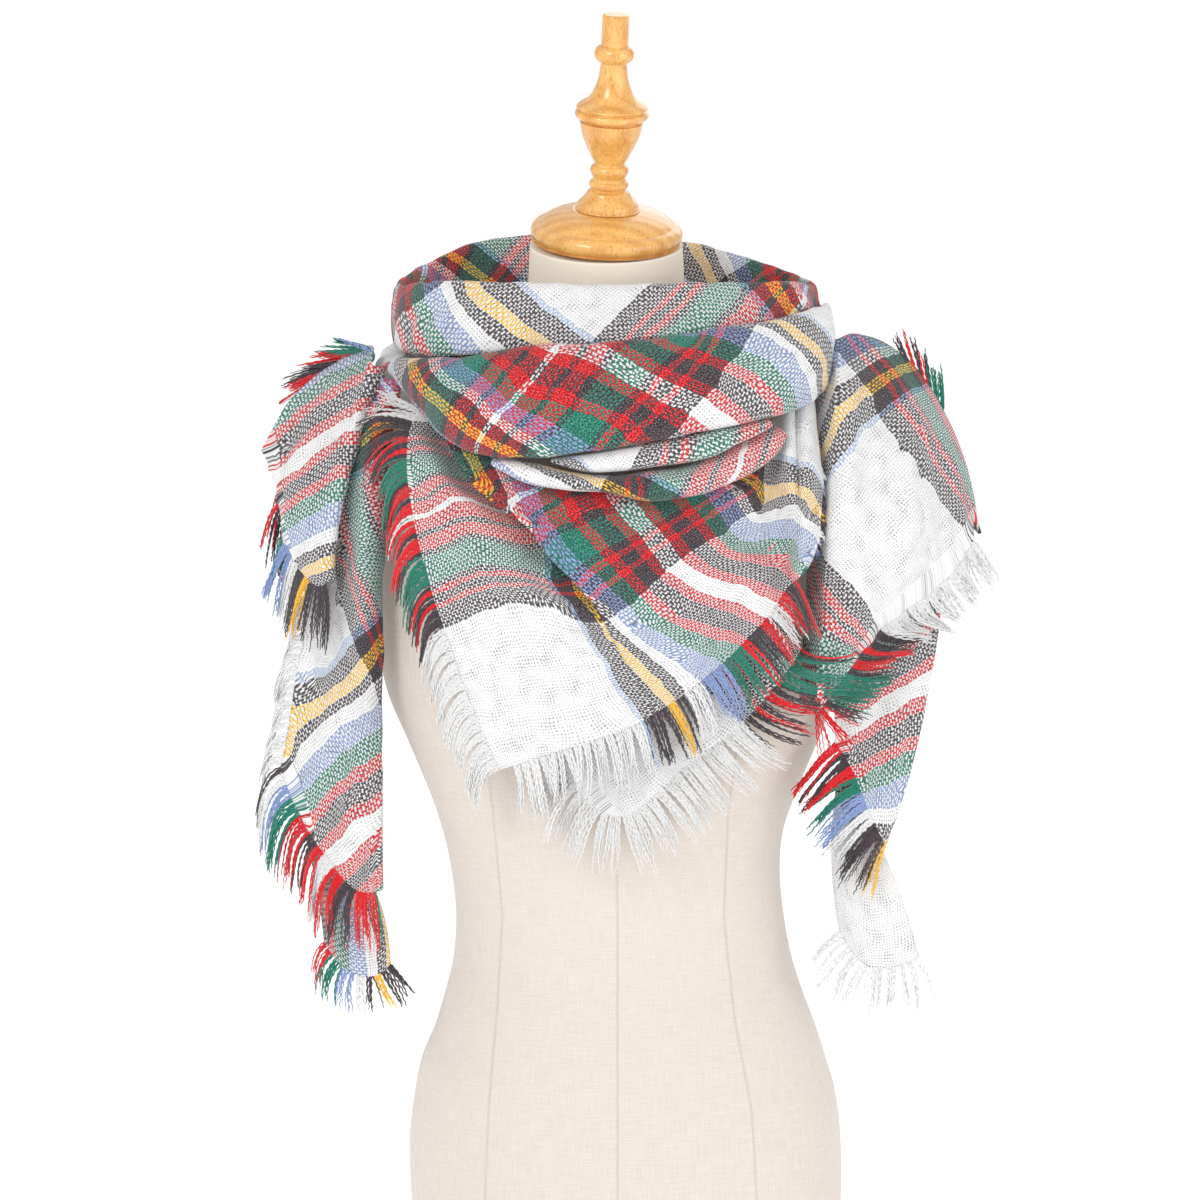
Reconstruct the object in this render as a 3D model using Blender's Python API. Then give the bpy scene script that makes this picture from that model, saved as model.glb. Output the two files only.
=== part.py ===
"""Fringed tartan blanket scarf, folded to a triangle, wound round the neck of a limbless
dress form with the point in front and both ends hanging at the sides.

Each stretch of cloth that shows is a thin wall through a short table of sections, the
fringes are plain strips of their reach, and the form is a linen torso with a turned wooden
cap and finial. Sizes are in millimetres and become metres when a mesh is made. X is to the
wearer's left, the front looks along -Y and the form stands on the floor at Z = 0.
"""
import math

import bmesh
import bpy
import numpy as np

MM = 0.001
WALL = 2.4              # brushed woven cloth, nap included
FRINGE_WALL = 2.4       # a row of loose strands, taken as a plain strip
SEAM = 0.3              # air between one stretch of cloth and the next
NECK_AXIS = (-10.0, 5.0)  # where the form's neck stands in plan
NECK_LEAN = 12.0        # the neck's top leans forward by this many degrees
FINIAL_LEAN = 2.4       # and the turned finial a little to the side
NECK_TOP = 761.0        # height of the neck's top at its middle

COLOURS = {             # base colour (linear), roughness
    "linen": ((0.80, 0.72, 0.62), 0.85),
    "wood": ((0.62, 0.32, 0.10), 0.32),
    "cloth": ((0.78, 0.76, 0.76), 0.95),
    "red": ((0.70, 0.03, 0.03), 0.95),
    "green": ((0.03, 0.20, 0.13), 0.95),
    "white": ((0.88, 0.88, 0.87), 0.95),
}


# ---------------------------------------------------------------- general helpers

def material(colour):
    """The Principled material of one colour, made once."""
    made = bpy.data.materials.get(colour)
    if made:
        return made
    base, roughness = COLOURS[colour]
    made = bpy.data.materials.new(colour)
    made.use_nodes = True
    shader = made.node_tree.nodes["Principled BSDF"]
    shader.inputs["Base Color"].default_value = (*base, 1.0)
    shader.inputs["Roughness"].default_value = roughness
    shader.inputs["Metallic"].default_value = 0.0
    made.diffuse_color = (*base, 1.0)
    return made


def add_object(name, points, faces, colour, smooth=True):
    """One closed mesh from points in millimetres, with its faces turned outwards."""
    mesh = bpy.data.meshes.new(name)
    mesh.from_pydata([tuple(c * MM for c in p) for p in points], [], faces)
    work = bmesh.new()
    work.from_mesh(mesh)
    bmesh.ops.recalc_face_normals(work, faces=work.faces)
    work.to_mesh(mesh)
    work.free()
    mesh.polygons.foreach_set("use_smooth", [smooth] * len(mesh.polygons))
    mesh.materials.append(material(colour))
    thing = bpy.data.objects.new(name, mesh)
    bpy.context.scene.collection.objects.link(thing)
    thing.parent = root
    return thing


def through(points, count):
    """A smooth line of count points through a few given ones, spaced evenly between them."""
    points = np.asarray(points, float)
    last = len(points) - 1
    slope = np.empty_like(points)
    slope[1:-1] = (points[2:] - points[:-2]) / 2
    slope[0] = 2 * (points[1] - points[0]) - slope[1]
    slope[-1] = 2 * (points[-1] - points[-2]) - slope[-2]
    line = []
    for place in np.linspace(0, last, count):
        k = min(int(place), last - 1)
        f = place - k
        line.append(
            points[k] * (2 * f**3 - 3 * f**2 + 1)
            + slope[k] * (f**3 - 2 * f**2 + f)
            + points[k + 1] * (3 * f**2 - 2 * f**3)
            + slope[k + 1] * (f**3 - f**2)
        )
    return np.array(line)


def surface(sections, across, along):
    """A grid of points, across by along, through sections that each hold the same few
    points."""
    lines = np.array([through(section, along) for section in sections])
    return np.stack([through(lines[:, j], across) for j in range(along)], axis=1)


def normals(grid):
    """The unit normal of the surface at each point of a grid."""
    normal = np.cross(np.gradient(grid, axis=0), np.gradient(grid, axis=1))
    return normal / np.linalg.norm(normal, axis=2, keepdims=True)


def wall(name, grid, thickness, colour):
    """A closed wall of even thickness about a grid of points."""
    rows, columns = grid.shape[:2]
    step = normals(grid) * thickness / 2
    points = np.concatenate([(grid + step).reshape(-1, 3), (grid - step).reshape(-1, 3)])
    back = rows * columns

    def at(i, j):
        return i * columns + j

    faces = []
    for i in range(rows - 1):
        for j in range(columns - 1):
            quad = [at(i, j), at(i + 1, j), at(i + 1, j + 1), at(i, j + 1)]
            faces.append(quad)
            faces.append([back + k for k in reversed(quad)])
    rim = [at(i, 0) for i in range(rows)]
    rim += [at(rows - 1, j) for j in range(1, columns)]
    rim += [at(i, columns - 1) for i in range(rows - 2, -1, -1)]
    rim += [at(0, j) for j in range(columns - 2, 0, -1)]
    for a, b in zip(rim, rim[1:] + rim[:1]):
        faces.append([b, a, back + a, back + b])
    return add_object(name, points, faces, colour)


for thing in list(bpy.data.objects):
    bpy.data.objects.remove(thing, do_unlink=True)
root = bpy.data.objects.new("scarf_on_form", None)
bpy.context.scene.collection.objects.link(root)


# ---------------------------------------------------------------- dress form
# A smooth padded torso without limbs, covered in linen: hips, waist, bust, sloping
# shoulders and a neck that leans forward. Its underside is flat and stands on the floor.

FORM_SIDES = 40
# height, half width, centre x, front y, back y, squareness (2 is an ellipse), lean degrees
FORM = [
    (0, 152, 5, -102, 112, 2.3, 0),
    (50, 157, 5, -106, 116, 2.3, 0),
    (104, 158, 4, -106, 117, 2.3, 0),
    (140, 154, 4, -104, 114, 2.3, 0),
    (165, 148, 3, -101, 109, 2.3, 0),
    (190, 139, 4, -97, 103, 2.3, 0),
    (217, 130, 3, -92, 96, 2.3, 0),
    (243, 123, 2, -88, 88, 2.2, 0),
    (275, 119, 0, -86, 82, 2.2, 0),
    (307, 119, -3, -88, 80, 2.2, 0),
    (337, 123, -5, -95, 82, 2.2, 0),
    (366, 132, -5, -103, 85, 2.2, 0),
    (406, 148, -5, -111, 88, 2.2, 0),
    (440, 161, -6, -114, 90, 2.2, 0),
    (480, 168, -7, -113, 92, 2.2, 0),
    (530, 170, -8, -102, 94, 2.2, 0),
    (580, 169, -8, -88, 93, 2.2, 0),
    (615, 163, -8, -76, 88, 2.2, 0),
    (638, 148, -8, -68, 80, 2.2, 0),
    (654, 122, -8, -60, 72, 2.1, 0),
    (668, 95, -9, -54, 66, 2.0, 0),
    (682, 73, -10, -50, 60, 2.0, 0),
    (700, 60, -10, -50, 54, 2.0, 2),
    (725, 56, -10, -54, 48, 2.0, 6),
    (745, 55, -10, -59, 44, 2.0, 9),
    (NECK_TOP, 54, -10, -62, 40, 2.0, NECK_LEAN),
]


def form_section(height, half, centre, front, back, square, lean):
    """One level outline of the form, tilted forward by its lean."""
    middle = (front + back) / 2
    depth = (back - front) / 2
    outline = []
    for k in range(FORM_SIDES):
        angle = 2 * math.pi * k / FORM_SIDES
        c, s = math.cos(angle), math.sin(angle)
        x = centre + half * math.copysign(abs(c) ** (2 / square), c)
        y = middle + depth * math.copysign(abs(s) ** (2 / square), s)
        outline.append((x, y, height + (y - middle) * math.tan(math.radians(lean))))
    return outline


form_points = [p for row in FORM for p in form_section(*row)]
form_faces = []
for ring in range(len(FORM) - 1):
    for k in range(FORM_SIDES):
        a = ring * FORM_SIDES + k
        b = ring * FORM_SIDES + (k + 1) % FORM_SIDES
        form_faces.append([a, b, b + FORM_SIDES, a + FORM_SIDES])
form_faces.append(list(reversed(range(FORM_SIDES))))
form_faces.append([len(form_points) - FORM_SIDES + k for k in range(FORM_SIDES)])
add_object("form_torso", form_points, form_faces, "linen")


# ---------------------------------------------------------------- wooden cap and finial
# Both are turned on a lathe: a round neck cap with a stepped, domed top, and a finial with
# a bell foot, two beads, an urn, a collar and a pin. They stand square on the leaning neck.

TURNED_SIDES = 28
CAP_PROFILE = [  # radius, height above the neck
    (50.5, 0), (53.4, 3), (53.8, 6.5), (52.6, 10), (49.5, 12), (47.5, 12.6), (46, 14.4),
    (42, 17.2), (35, 20), (27, 22), (21, 22.6),
]
FINIAL_PROFILE = [  # radius, height above the cap
    (21.5, 0), (21.5, 4), (17.8, 8.3), (15, 12.7), (12, 14.9), (13.9, 18.3), (11.6, 22.6),
    (13.5, 28.8), (10.9, 32.8), (13.1, 37.6), (16.9, 45.4), (20.1, 53), (22.2, 62.2),
    (20.6, 64), (23.5, 68), (25.4, 71), (23.7, 74.3), (17.8, 79), (14.1, 84.4),
    (10.8, 93), (9.4, 103.2), (9.6, 105.8), (12.9, 108), (13.9, 112), (12.5, 116.2),
    (9.8, 118.3), (9.6, 138.5), (8.5, 140),
]


def turned(name, profile, lift):
    """A solid of revolution on the neck's leaning axis, lift millimetres above its top."""
    points = []
    for radius, height in profile:
        for k in range(TURNED_SIDES):
            angle = 2 * math.pi * k / TURNED_SIDES
            points.append((radius * math.cos(angle), radius * math.sin(angle), height + lift))
    faces = []
    for ring in range(len(profile) - 1):
        for k in range(TURNED_SIDES):
            a = ring * TURNED_SIDES + k
            b = ring * TURNED_SIDES + (k + 1) % TURNED_SIDES
            faces.append([a, b, b + TURNED_SIDES, a + TURNED_SIDES])
    faces.append(list(reversed(range(TURNED_SIDES))))
    faces.append([len(points) - TURNED_SIDES + k for k in range(TURNED_SIDES)])
    made = add_object(name, points, faces, "wood")
    made.location = (-10 * MM, -11 * MM, NECK_TOP * MM)
    made.rotation_euler = (math.radians(NECK_LEAN), math.radians(FINIAL_LEAN), 0)
    return made


# The cap also leans sideways, so its rim clears the neck by the seam at the low side.
cap_lift = 50.5 * math.sin(math.radians(FINIAL_LEAN)) + SEAM
turned("neck_cap", CAP_PROFILE, cap_lift)
turned("finial", FINIAL_PROFILE, cap_lift + CAP_PROFILE[-1][1] + SEAM)


# ---------------------------------------------------------------- cloth round the neck
# Each roll is a band round the neck. A row of its table is one upright section: its bearing
# from the front, then radius and height of a few points from its hidden upper edge, over
# its face, to its tucked lower edge.

def ring_grid(rows, across, along):
    """The grid of a band whose rows hold a bearing and then pairs of radius and height."""
    sections = []
    for bearing, *pairs in rows:
        angle = math.radians(bearing)
        section = []
        for radius, height in zip(pairs[0::2], pairs[1::2]):
            x = NECK_AXIS[0] + radius * math.sin(angle)
            y = NECK_AXIS[1] - radius * math.cos(angle)
            section.append((x, y, height))
        sections.append(section)
    return surface(sections, across, along)


# bearing, inner edge r z, crest r z, face r z, lower edge r z
ROLL_FRONT = [
    (-77, 132, 690, 144, 731, 152, 712, 151, 688),
    (-60, 122, 694, 138, 737, 149, 716, 147, 686),
    (-40, 106, 698, 122, 738, 139, 717, 145, 690),
    (-20, 88, 700, 104, 737, 123, 719, 134, 696),
    (0, 80, 700, 95, 736, 114, 720, 129, 699),
    (20, 88, 700, 102, 737, 120, 722, 134, 703),
    (40, 108, 700, 124, 737, 138, 724, 145, 708),
    (60, 124, 698, 141, 736, 149, 725, 152, 712),
    (84, 132, 692, 146, 729, 150, 720, 151, 709),
]
ROLL_BACK = [
    (84.3, 132, 692, 146, 729, 150, 720, 151, 709),
    (100, 126, 692, 140, 733, 145, 722, 146, 708),
    (123, 106, 696, 119, 744, 131, 728, 136, 707),
    (149, 92, 702, 107, 754, 121, 736, 127, 706),
    (180, 86, 704, 104, 759, 117, 740, 122, 706),
    (212, 92, 702, 108, 759, 122, 738, 128, 706),
    (231, 106, 698, 122, 753, 135, 734, 139, 704),
    (247, 120, 692, 136, 742, 145, 725, 147, 702),
    (264, 130, 690, 147, 732, 152, 714, 152, 696),
    (282.7, 132, 690, 144, 731, 152, 712, 151, 688),
]
# bearing, hidden top r z, shoulder r z, belly r z, lower fold r z, tucked edge r z
WRAP_FRONT = [
    (-76, 155, 682, 157, 679, 158, 675, 156, 670, 151, 669),
    (-66, 153, 683, 159, 680, 161, 673, 157, 665, 150, 663),
    (-52, 151, 685, 163, 680, 168, 666, 162, 648, 150, 646),
    (-36, 148, 690, 162, 683, 174, 660, 169, 632, 156, 628),
    (-20, 138, 697, 153, 691, 166, 663, 165, 629, 152, 625),
    (0, 133, 700, 147, 694, 161, 669, 161, 636, 148, 632),
    (18, 137, 704, 152, 698, 165, 675, 164, 644, 151, 640),
    (34, 146, 709, 160, 703, 171, 681, 170, 651, 157, 647),
    (50, 154, 713, 168, 707, 177, 686, 174, 657, 161, 653),
    (66, 158, 717, 168, 712, 172, 693, 169, 665, 157, 661),
    (80, 157, 718, 162, 712, 162, 696, 160, 674, 150, 668),
    (90, 156, 716, 160, 710, 160, 696, 158, 676, 148, 669),
]
WRAP_BACK = [
    (90.3, 156, 716, 160, 710, 160, 696, 158, 676, 148, 669),
    (108, 149, 713, 157, 707, 161, 692, 159, 669, 148, 662),
    (135, 138, 712, 148, 706, 155, 688, 154, 662, 144, 656),
    (160, 130, 712, 140, 706, 149, 688, 150, 660, 139, 654),
    (180, 127, 712, 136, 706, 146, 688, 148, 659, 137, 653),
    (200, 130, 712, 140, 706, 149, 688, 150, 660, 139, 654),
    (225, 141, 710, 151, 704, 158, 686, 157, 660, 147, 655),
    (250, 152, 706, 160, 700, 166, 684, 163, 662, 153, 657),
    (270, 158, 697, 163, 692, 165, 682, 161, 668, 153, 664),
    (283.6, 155, 682, 157, 679, 158, 675, 156, 670, 151, 669),
]
# bearing, hidden top r z, belly r z, lower fold r z, tucked edge r z
ROLL_LOW_INNER = [
    (-14, 150, 622, 156, 621.5, 157, 620, 151, 619),
    (-4, 149, 625.5, 158, 622.5, 159, 616.5, 150, 614),
    (10, 150, 632, 161, 627, 161, 619, 151, 616),
    (24, 153, 639, 165, 633, 165, 624, 154, 621),
    (34, 156, 643.4, 168, 639.6, 169, 634, 158, 631),
    (42, 158, 646.8, 168, 645.6, 170, 642, 160, 639.6),
]
ROLL_LOW_OUTER = [
    (-30, 150, 622, 157, 620, 158, 616, 151, 614),
    (-20, 148, 618, 160, 615, 161, 608, 151, 605),
    (-10, 147, 612, 160, 609, 161, 604, 151, 601),
    (0, 147, 610, 160, 608, 162, 602, 151, 599),
    (10, 148, 612, 162, 607, 163, 597, 152, 594),
    (20, 150, 615, 165, 609, 165, 599, 153, 596),
    (30, 154, 624, 168, 617, 168, 606, 156, 603),
    (40, 158, 634, 171, 628, 170, 617, 159, 614),
    (46, 160, 640, 171, 638, 171, 631, 161, 627),
]

wall("roll_front", ring_grid(ROLL_FRONT, 17, 8), WALL, "white")
wall("roll_back", ring_grid(ROLL_BACK, 19, 7), WALL, "green")
wall("wrap_front", ring_grid(WRAP_FRONT, 23, 9), WALL, "red")
wall("wrap_back", ring_grid(WRAP_BACK, 17, 8), WALL, "cloth")
wall("roll_low_inner", ring_grid(ROLL_LOW_INNER, 11, 6), WALL, "white")
wall("roll_low_outer", ring_grid(ROLL_LOW_OUTER, 15, 7), WALL, "green")


# ---------------------------------------------------------------- hanging cloth
# A row of these tables is one line down the cloth: its top, its middle and its bottom, each
# as x, y and z. The rows go from one side of the stretch to the other.

def hanging_grid(rows, across, along, folds=(), tops=None):
    """The grid of a hanging stretch, with its folds pressed in or out along the normal. Where
    its top is seated on another stretch, tops gives those points and the rows leave them out.
    """
    sections = [np.reshape(row, (-1, 3)) for row in rows]
    if tops is not None:
        sections = [np.vstack((top, section)) for top, section in zip(tops, sections)]
    grid = surface(sections, across, along)
    out = normals(grid)
    if out[..., 1].sum() > 0:
        out = -out
    lift = np.zeros(grid.shape[:2])
    for x0, z0, x1, z1, width, height in folds:
        start = np.array((x0, z0))
        line = np.array((x1, z1)) - start
        length = np.linalg.norm(line)
        flat = grid[..., [0, 2]] - start
        far = np.clip(flat @ line / length**2, 0, 1)
        gap = np.linalg.norm(flat - far[..., None] * line, axis=2)
        lift += height * np.exp(-((gap / width) ** 2)) * np.sin(math.pi * (0.15 + 0.7 * far))
    return grid + out * lift[..., None]


def behind(grid, *places):
    """Points behind a stretch of cloth: places of its grid, and how far past the seam."""
    inward = normals(grid)
    return [grid[i, j] + inward[i, j] * (WALL + SEAM + past) for i, j, past in places]


def beyond(edge, inside):
    """The points a seam beyond the edge of a stretch of cloth, in its own surface."""
    way = edge - inside
    way /= np.linalg.norm(way, axis=1, keepdims=True)
    return list(edge + way * (WALL * 0.85 + SEAM))


# top x y z, middle x y z, bottom x y z, from the fringed left edge to the free right edge
FLAP_FRONT = [
    (-121, -78, 646, -137, -122, 563, -85, -132, 403),
    (-98, -102, 630, -95, -134, 545, -42, -138, 418),
    (-60, -124, 614, -50, -144, 540, -7, -140, 430),
    (-10, -132, 606, 0, -148, 540, 34, -141, 451),
    (45, -126, 610, 50, -146, 550, 72, -140, 482),
    (82, -104, 622, 90, -132, 570, 98, -136, 508),
    (104, -90, 640, 106, -114, 594, 113, -130, 528),
    (122, -80, 652.8, 124, -131, 604, 126, -134, 542),
    (133, -60, 657, 139, -114, 600, 132, -122, 552),
]
# x and z where the fold starts and ends, its half width, its height
FLAP_FOLDS = [
    (-85, 620, -38, 525, 16, -9),
    (-38, 600, 30, 470, 22, 7),
    (-30, 545, -8, 500, 10, -7),
    (52, 590, 92, 515, 14, -6),
    (20, 560, 80, 500, 16, 5),
]
# back stretch, from the left shoulder round to the right one
BACK_DRAPE = [
    (-176, -16, 688, -214, 1, 668, -254, -24, 614),
    (-184, 20, 668, -206, 40, 634, -222, 44, 586),
    (-154, 57, 653, -168, 84, 620, -178, 92, 572),
    (-114, 109, 651, -122, 116, 614, -130, 118, 562),
    (-57, 136, 650, -62, 132, 608, -68, 124, 556),
    (-10, 142, 649, -10, 132, 606, -10, 122, 552),
    (38, 136, 650, 44, 130, 608, 50, 122, 556),
    (92, 107, 652, 104, 112, 614, 114, 112, 562),
    (131, 51, 650, 156, 76, 620, 172, 84, 572),
    (168, 12, 666, 198, 30, 640, 214, 44, 584),
    (170, -18, 696, 222, -2, 656, 255, -32, 556),
]
# middle x y z, bottom x y z, where the top is seated on the stretch that covers it
FLAP_UNDER = [
    (-52, -119, 462, -40, -119, 405),
    (-12, -115.8, 444, -1, -119, 368),
    (38, -119, 468, 44, -119, 403),
    (84, -116, 492, 88, -119, 438),
    (120, -110, 520, 126, -116, 486),
]
DRAPE_RIGHT = [
    (147, -110, 590, 138, -114, 442),
    (168, -112, 582, 157, -106, 467),
    (190, -100, 580, 175, -95, 491),
    (212, -82, 588, 200, -80, 508),
    (230, -60, 590, 224, -64, 523),
    (243, -44, 580, 240, -50, 540),
    (250, -32, 566, 251, -38, 553),
]
DRAPE_FOLDS = [
    (172, 660, 160, 520, 12, 5),
    (196, 650, 192, 540, 10, -4),
]
TAIL_RIGHT = [
    (146, -84, 458, 151, -80, 414),
    (161, -84, 450, 163, -78, 395),
    (179, -78, 440, 174, -76, 368),
    (198, -70, 432, 184, -72, 346),
    (213, -62, 430, 190, -64, 338),
]
TAIL_RIGHT_END = [
    (150, -66, 340, 156, -62, 276),
    (166, -62, 318, 174, -60, 250),
    (184, -60, 306, 194, -57, 246),
    (200, -58, 300, 214, -54, 254),
]
TAIL_LEFT_OUTER = [
    (-250, -34, 607, -248, -38, 602),
    (-243, -36, 607, -240, -45, 580),
    (-233, -46, 602, -234, -56, 550),
    (-222, -56, 602, -224, -66, 534),
    (-210, -66, 602, -215, -74, 525),
    (-197, -74, 600, -207, -80, 527),
]
TAIL_LEFT_INNER = [
    (-217, -50, 530, -241, -56, 392),
    (-204, -64, 505, -226, -62, 355),
    (-189, -77, 490, -208, -67, 329),
    (-178, -82, 480, -190, -71, 308),
    (-169, -78, 480, -173, -72, 305),
]
TAIL_LEFT_FOLDS = [
    (-172, 640, -182, 480, 9, 5),
    (-192, 460, -212, 400, 10, 5),
]
TAIL_LEFT_END = [
    (-218, -48, 310, -212, -52, 265),
    (-202, -54, 290, -196, -56, 245),
    (-184, -56, 285, -178, -57, 240),
    (-170, -58, 290, -164, -58, 250),
]

flap_front = hanging_grid(FLAP_FRONT, 21, 10, FLAP_FOLDS)
under_top = behind(flap_front, (4, 6, 5), (8, 6, 8), (12, 6, 6), (15, 6, 4), (18, 6, 0.4))
flap_under = hanging_grid(FLAP_UNDER, 9, 5, tops=under_top)
back_drape = hanging_grid(BACK_DRAPE, 21, 6)
drape_top = [(154, -44, 696), *beyond(back_drape[-1], back_drape[-2])]
drape_right = hanging_grid(DRAPE_RIGHT, 13, 9, DRAPE_FOLDS, drape_top)
tail_top = behind(drape_right, (0, 8, 0), (3, 8, 2), (5, 8, 2), (7, 8, 2), (9, 8, 1))
tail_right = hanging_grid(TAIL_RIGHT, 9, 7, tops=tail_top)
end_top = behind(tail_right, (1, 6, 0), (3, 6, 1), (5, 6, 2), (7, 6, 3))
tail_right_end = hanging_grid(TAIL_RIGHT_END, 6, 5, tops=end_top)
ridge = beyond(back_drape[0, ::-1], back_drape[1, ::-1])
tail_left_outer = hanging_grid(TAIL_LEFT_OUTER, 11, 8, tops=[*ridge[:-1], (-180, -26, 684)])
inner_top = behind(tail_left_outer, (8, 1, 0.3), (10, 1, 0.6))
inner_top += [(-170, -46, 668), (-165, -50, 668), (-160, -53, 668)]
tail_left_inner = hanging_grid(TAIL_LEFT_INNER, 11, 12, TAIL_LEFT_FOLDS, inner_top)
end_top = behind(tail_left_inner, (2, 11, 0), (4, 11, 1), (7, 11, 1), (9, 11, 0))
tail_left_end = hanging_grid(TAIL_LEFT_END, 6, 5, tops=end_top)
wall("flap_front", flap_front, WALL, "cloth")
wall("flap_under", flap_under, WALL, "white")
wall("drape_right", drape_right, WALL, "white")
wall("tail_right", tail_right, WALL, "red")
wall("tail_right_end", tail_right_end, WALL, "white")
wall("tail_left_outer", tail_left_outer, WALL, "cloth")
wall("tail_left_inner", tail_left_inner, WALL, "green")
wall("tail_left_end", tail_left_end, WALL, "white")
wall("back_drape", back_drape, WALL, "cloth")


# ---------------------------------------------------------------- fringes
# The four edges of the square are unpicked into loose yarns. Each fringed edge has a plain
# strip of their reach, a seam away from the woven edge and bending down under its weight.

def fringe(name, edge, inside, reach, sweep, colour):
    """A strip that carries a woven edge on by its reach. sweep is the way it bends over."""
    course = np.gradient(edge, axis=0)
    course /= np.linalg.norm(course, axis=1, keepdims=True)
    out = edge - inside
    out -= (out * course).sum(axis=1, keepdims=True) * course
    out /= np.linalg.norm(out, axis=1, keepdims=True)
    steps = []
    for share in (0.0, 0.12, 0.5, 1.0):
        way = out + np.array(sweep) * max(share - 0.12, 0)
        way /= np.linalg.norm(way, axis=1, keepdims=True)
        steps.append(edge + way * (2.5 * SEAM + share * reach))
    return wall(name, np.stack(steps, axis=1), FRINGE_WALL, colour)


fringe("fringe_flap_left", flap_front[0, 1:], flap_front[1, 1:], 38, (0, 0.1, -1.0), "red")
fringe("fringe_flap_bottom", flap_front[1:17, -1], flap_front[1:17, -2], 42, (0, 0, -1.0), "white")
fringe("fringe_flap_right", flap_front[-1, 3:9], flap_front[-2, 3:9], 16, (0, 0, -0.6), "green")
fringe("fringe_under", flap_under[:, -1], flap_under[:, -2], 42, (0.3, 0, -0.2), "white")
fringe("fringe_drape_right", drape_right[:, -1], drape_right[:, -2], 34, (-0.5, -1.0, -0.8), "white")
fringe("fringe_tail_right", tail_right[:, -1], tail_right[:, -2], 38, (0, -0.6, -0.5), "red")
fringe("fringe_tail_right_end", tail_right_end[:, -1], tail_right_end[:, -2], 36, (0, 0, -0.4), "white")
edge, inside = tail_left_outer[2:, -1], tail_left_outer[2:, -2]
fringe("fringe_tail_left_outer", edge, inside, 42, (-0.1, -0.5, -1.2), "red")
fringe("fringe_tail_left_side", tail_left_inner[0, 6:], tail_left_inner[1, 6:], 34, (0, 0.4, -1.4), "white")
fringe("fringe_tail_left", tail_left_inner[:, -1], tail_left_inner[:, -2], 40, (0.1, -0.4, -0.8), "red")
fringe("fringe_tail_left_end", tail_left_end[:, -1], tail_left_end[:, -2], 30, (0, 0, -0.6), "white")
fringe("fringe_back", back_drape[1:-1, -1], back_drape[1:-1, -2], 42, (0, 0, -0.4), "white")

# The edge that passes over each shoulder fringes upwards from the top of the hanging end.
over = drape_right - normals(drape_right) * (WALL + 2 * SEAM)
fringe("fringe_shoulder_right", over[2:10, 1], over[2:10, 2], 30, (0.3, 0, 0.5), "red")
over = tail_left_outer - normals(tail_left_outer) * (WALL + 2 * SEAM)
fringe("fringe_shoulder_left", over[2:10, 1], over[2:10, 2], 26, (-0.4, 0, 0.4), "white")
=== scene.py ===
"""The looks of the fringed tartan blanket scarf on its limbless dress form.

Lengths are in millimetres until a mesh is made. X is to the wearer's left, the front looks
along -Y and the form stands on the floor at Z = 0.
"""
import math

import bmesh
import bpy
import numpy as np
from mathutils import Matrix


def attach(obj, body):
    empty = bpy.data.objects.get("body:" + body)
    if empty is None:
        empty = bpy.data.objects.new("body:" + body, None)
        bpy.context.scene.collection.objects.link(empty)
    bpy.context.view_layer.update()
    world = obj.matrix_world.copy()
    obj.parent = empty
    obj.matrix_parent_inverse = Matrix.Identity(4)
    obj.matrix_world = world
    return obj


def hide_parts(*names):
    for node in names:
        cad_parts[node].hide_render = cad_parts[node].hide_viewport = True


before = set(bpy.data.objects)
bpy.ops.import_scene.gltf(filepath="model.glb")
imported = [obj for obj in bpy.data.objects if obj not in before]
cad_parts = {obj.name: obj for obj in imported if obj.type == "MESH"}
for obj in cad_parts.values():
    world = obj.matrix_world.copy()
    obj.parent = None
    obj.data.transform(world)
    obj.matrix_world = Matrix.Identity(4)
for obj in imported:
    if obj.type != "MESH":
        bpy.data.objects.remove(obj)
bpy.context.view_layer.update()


# ---------------------------------------------------------------- dress form
# A padded torso without limbs, sewn up in natural linen from panels that meet at a seam down
# the middle and two shaped seams beside it, in front and behind. It stands on a flat base,
# and its neck leans forward.

MM = 0.001


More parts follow.
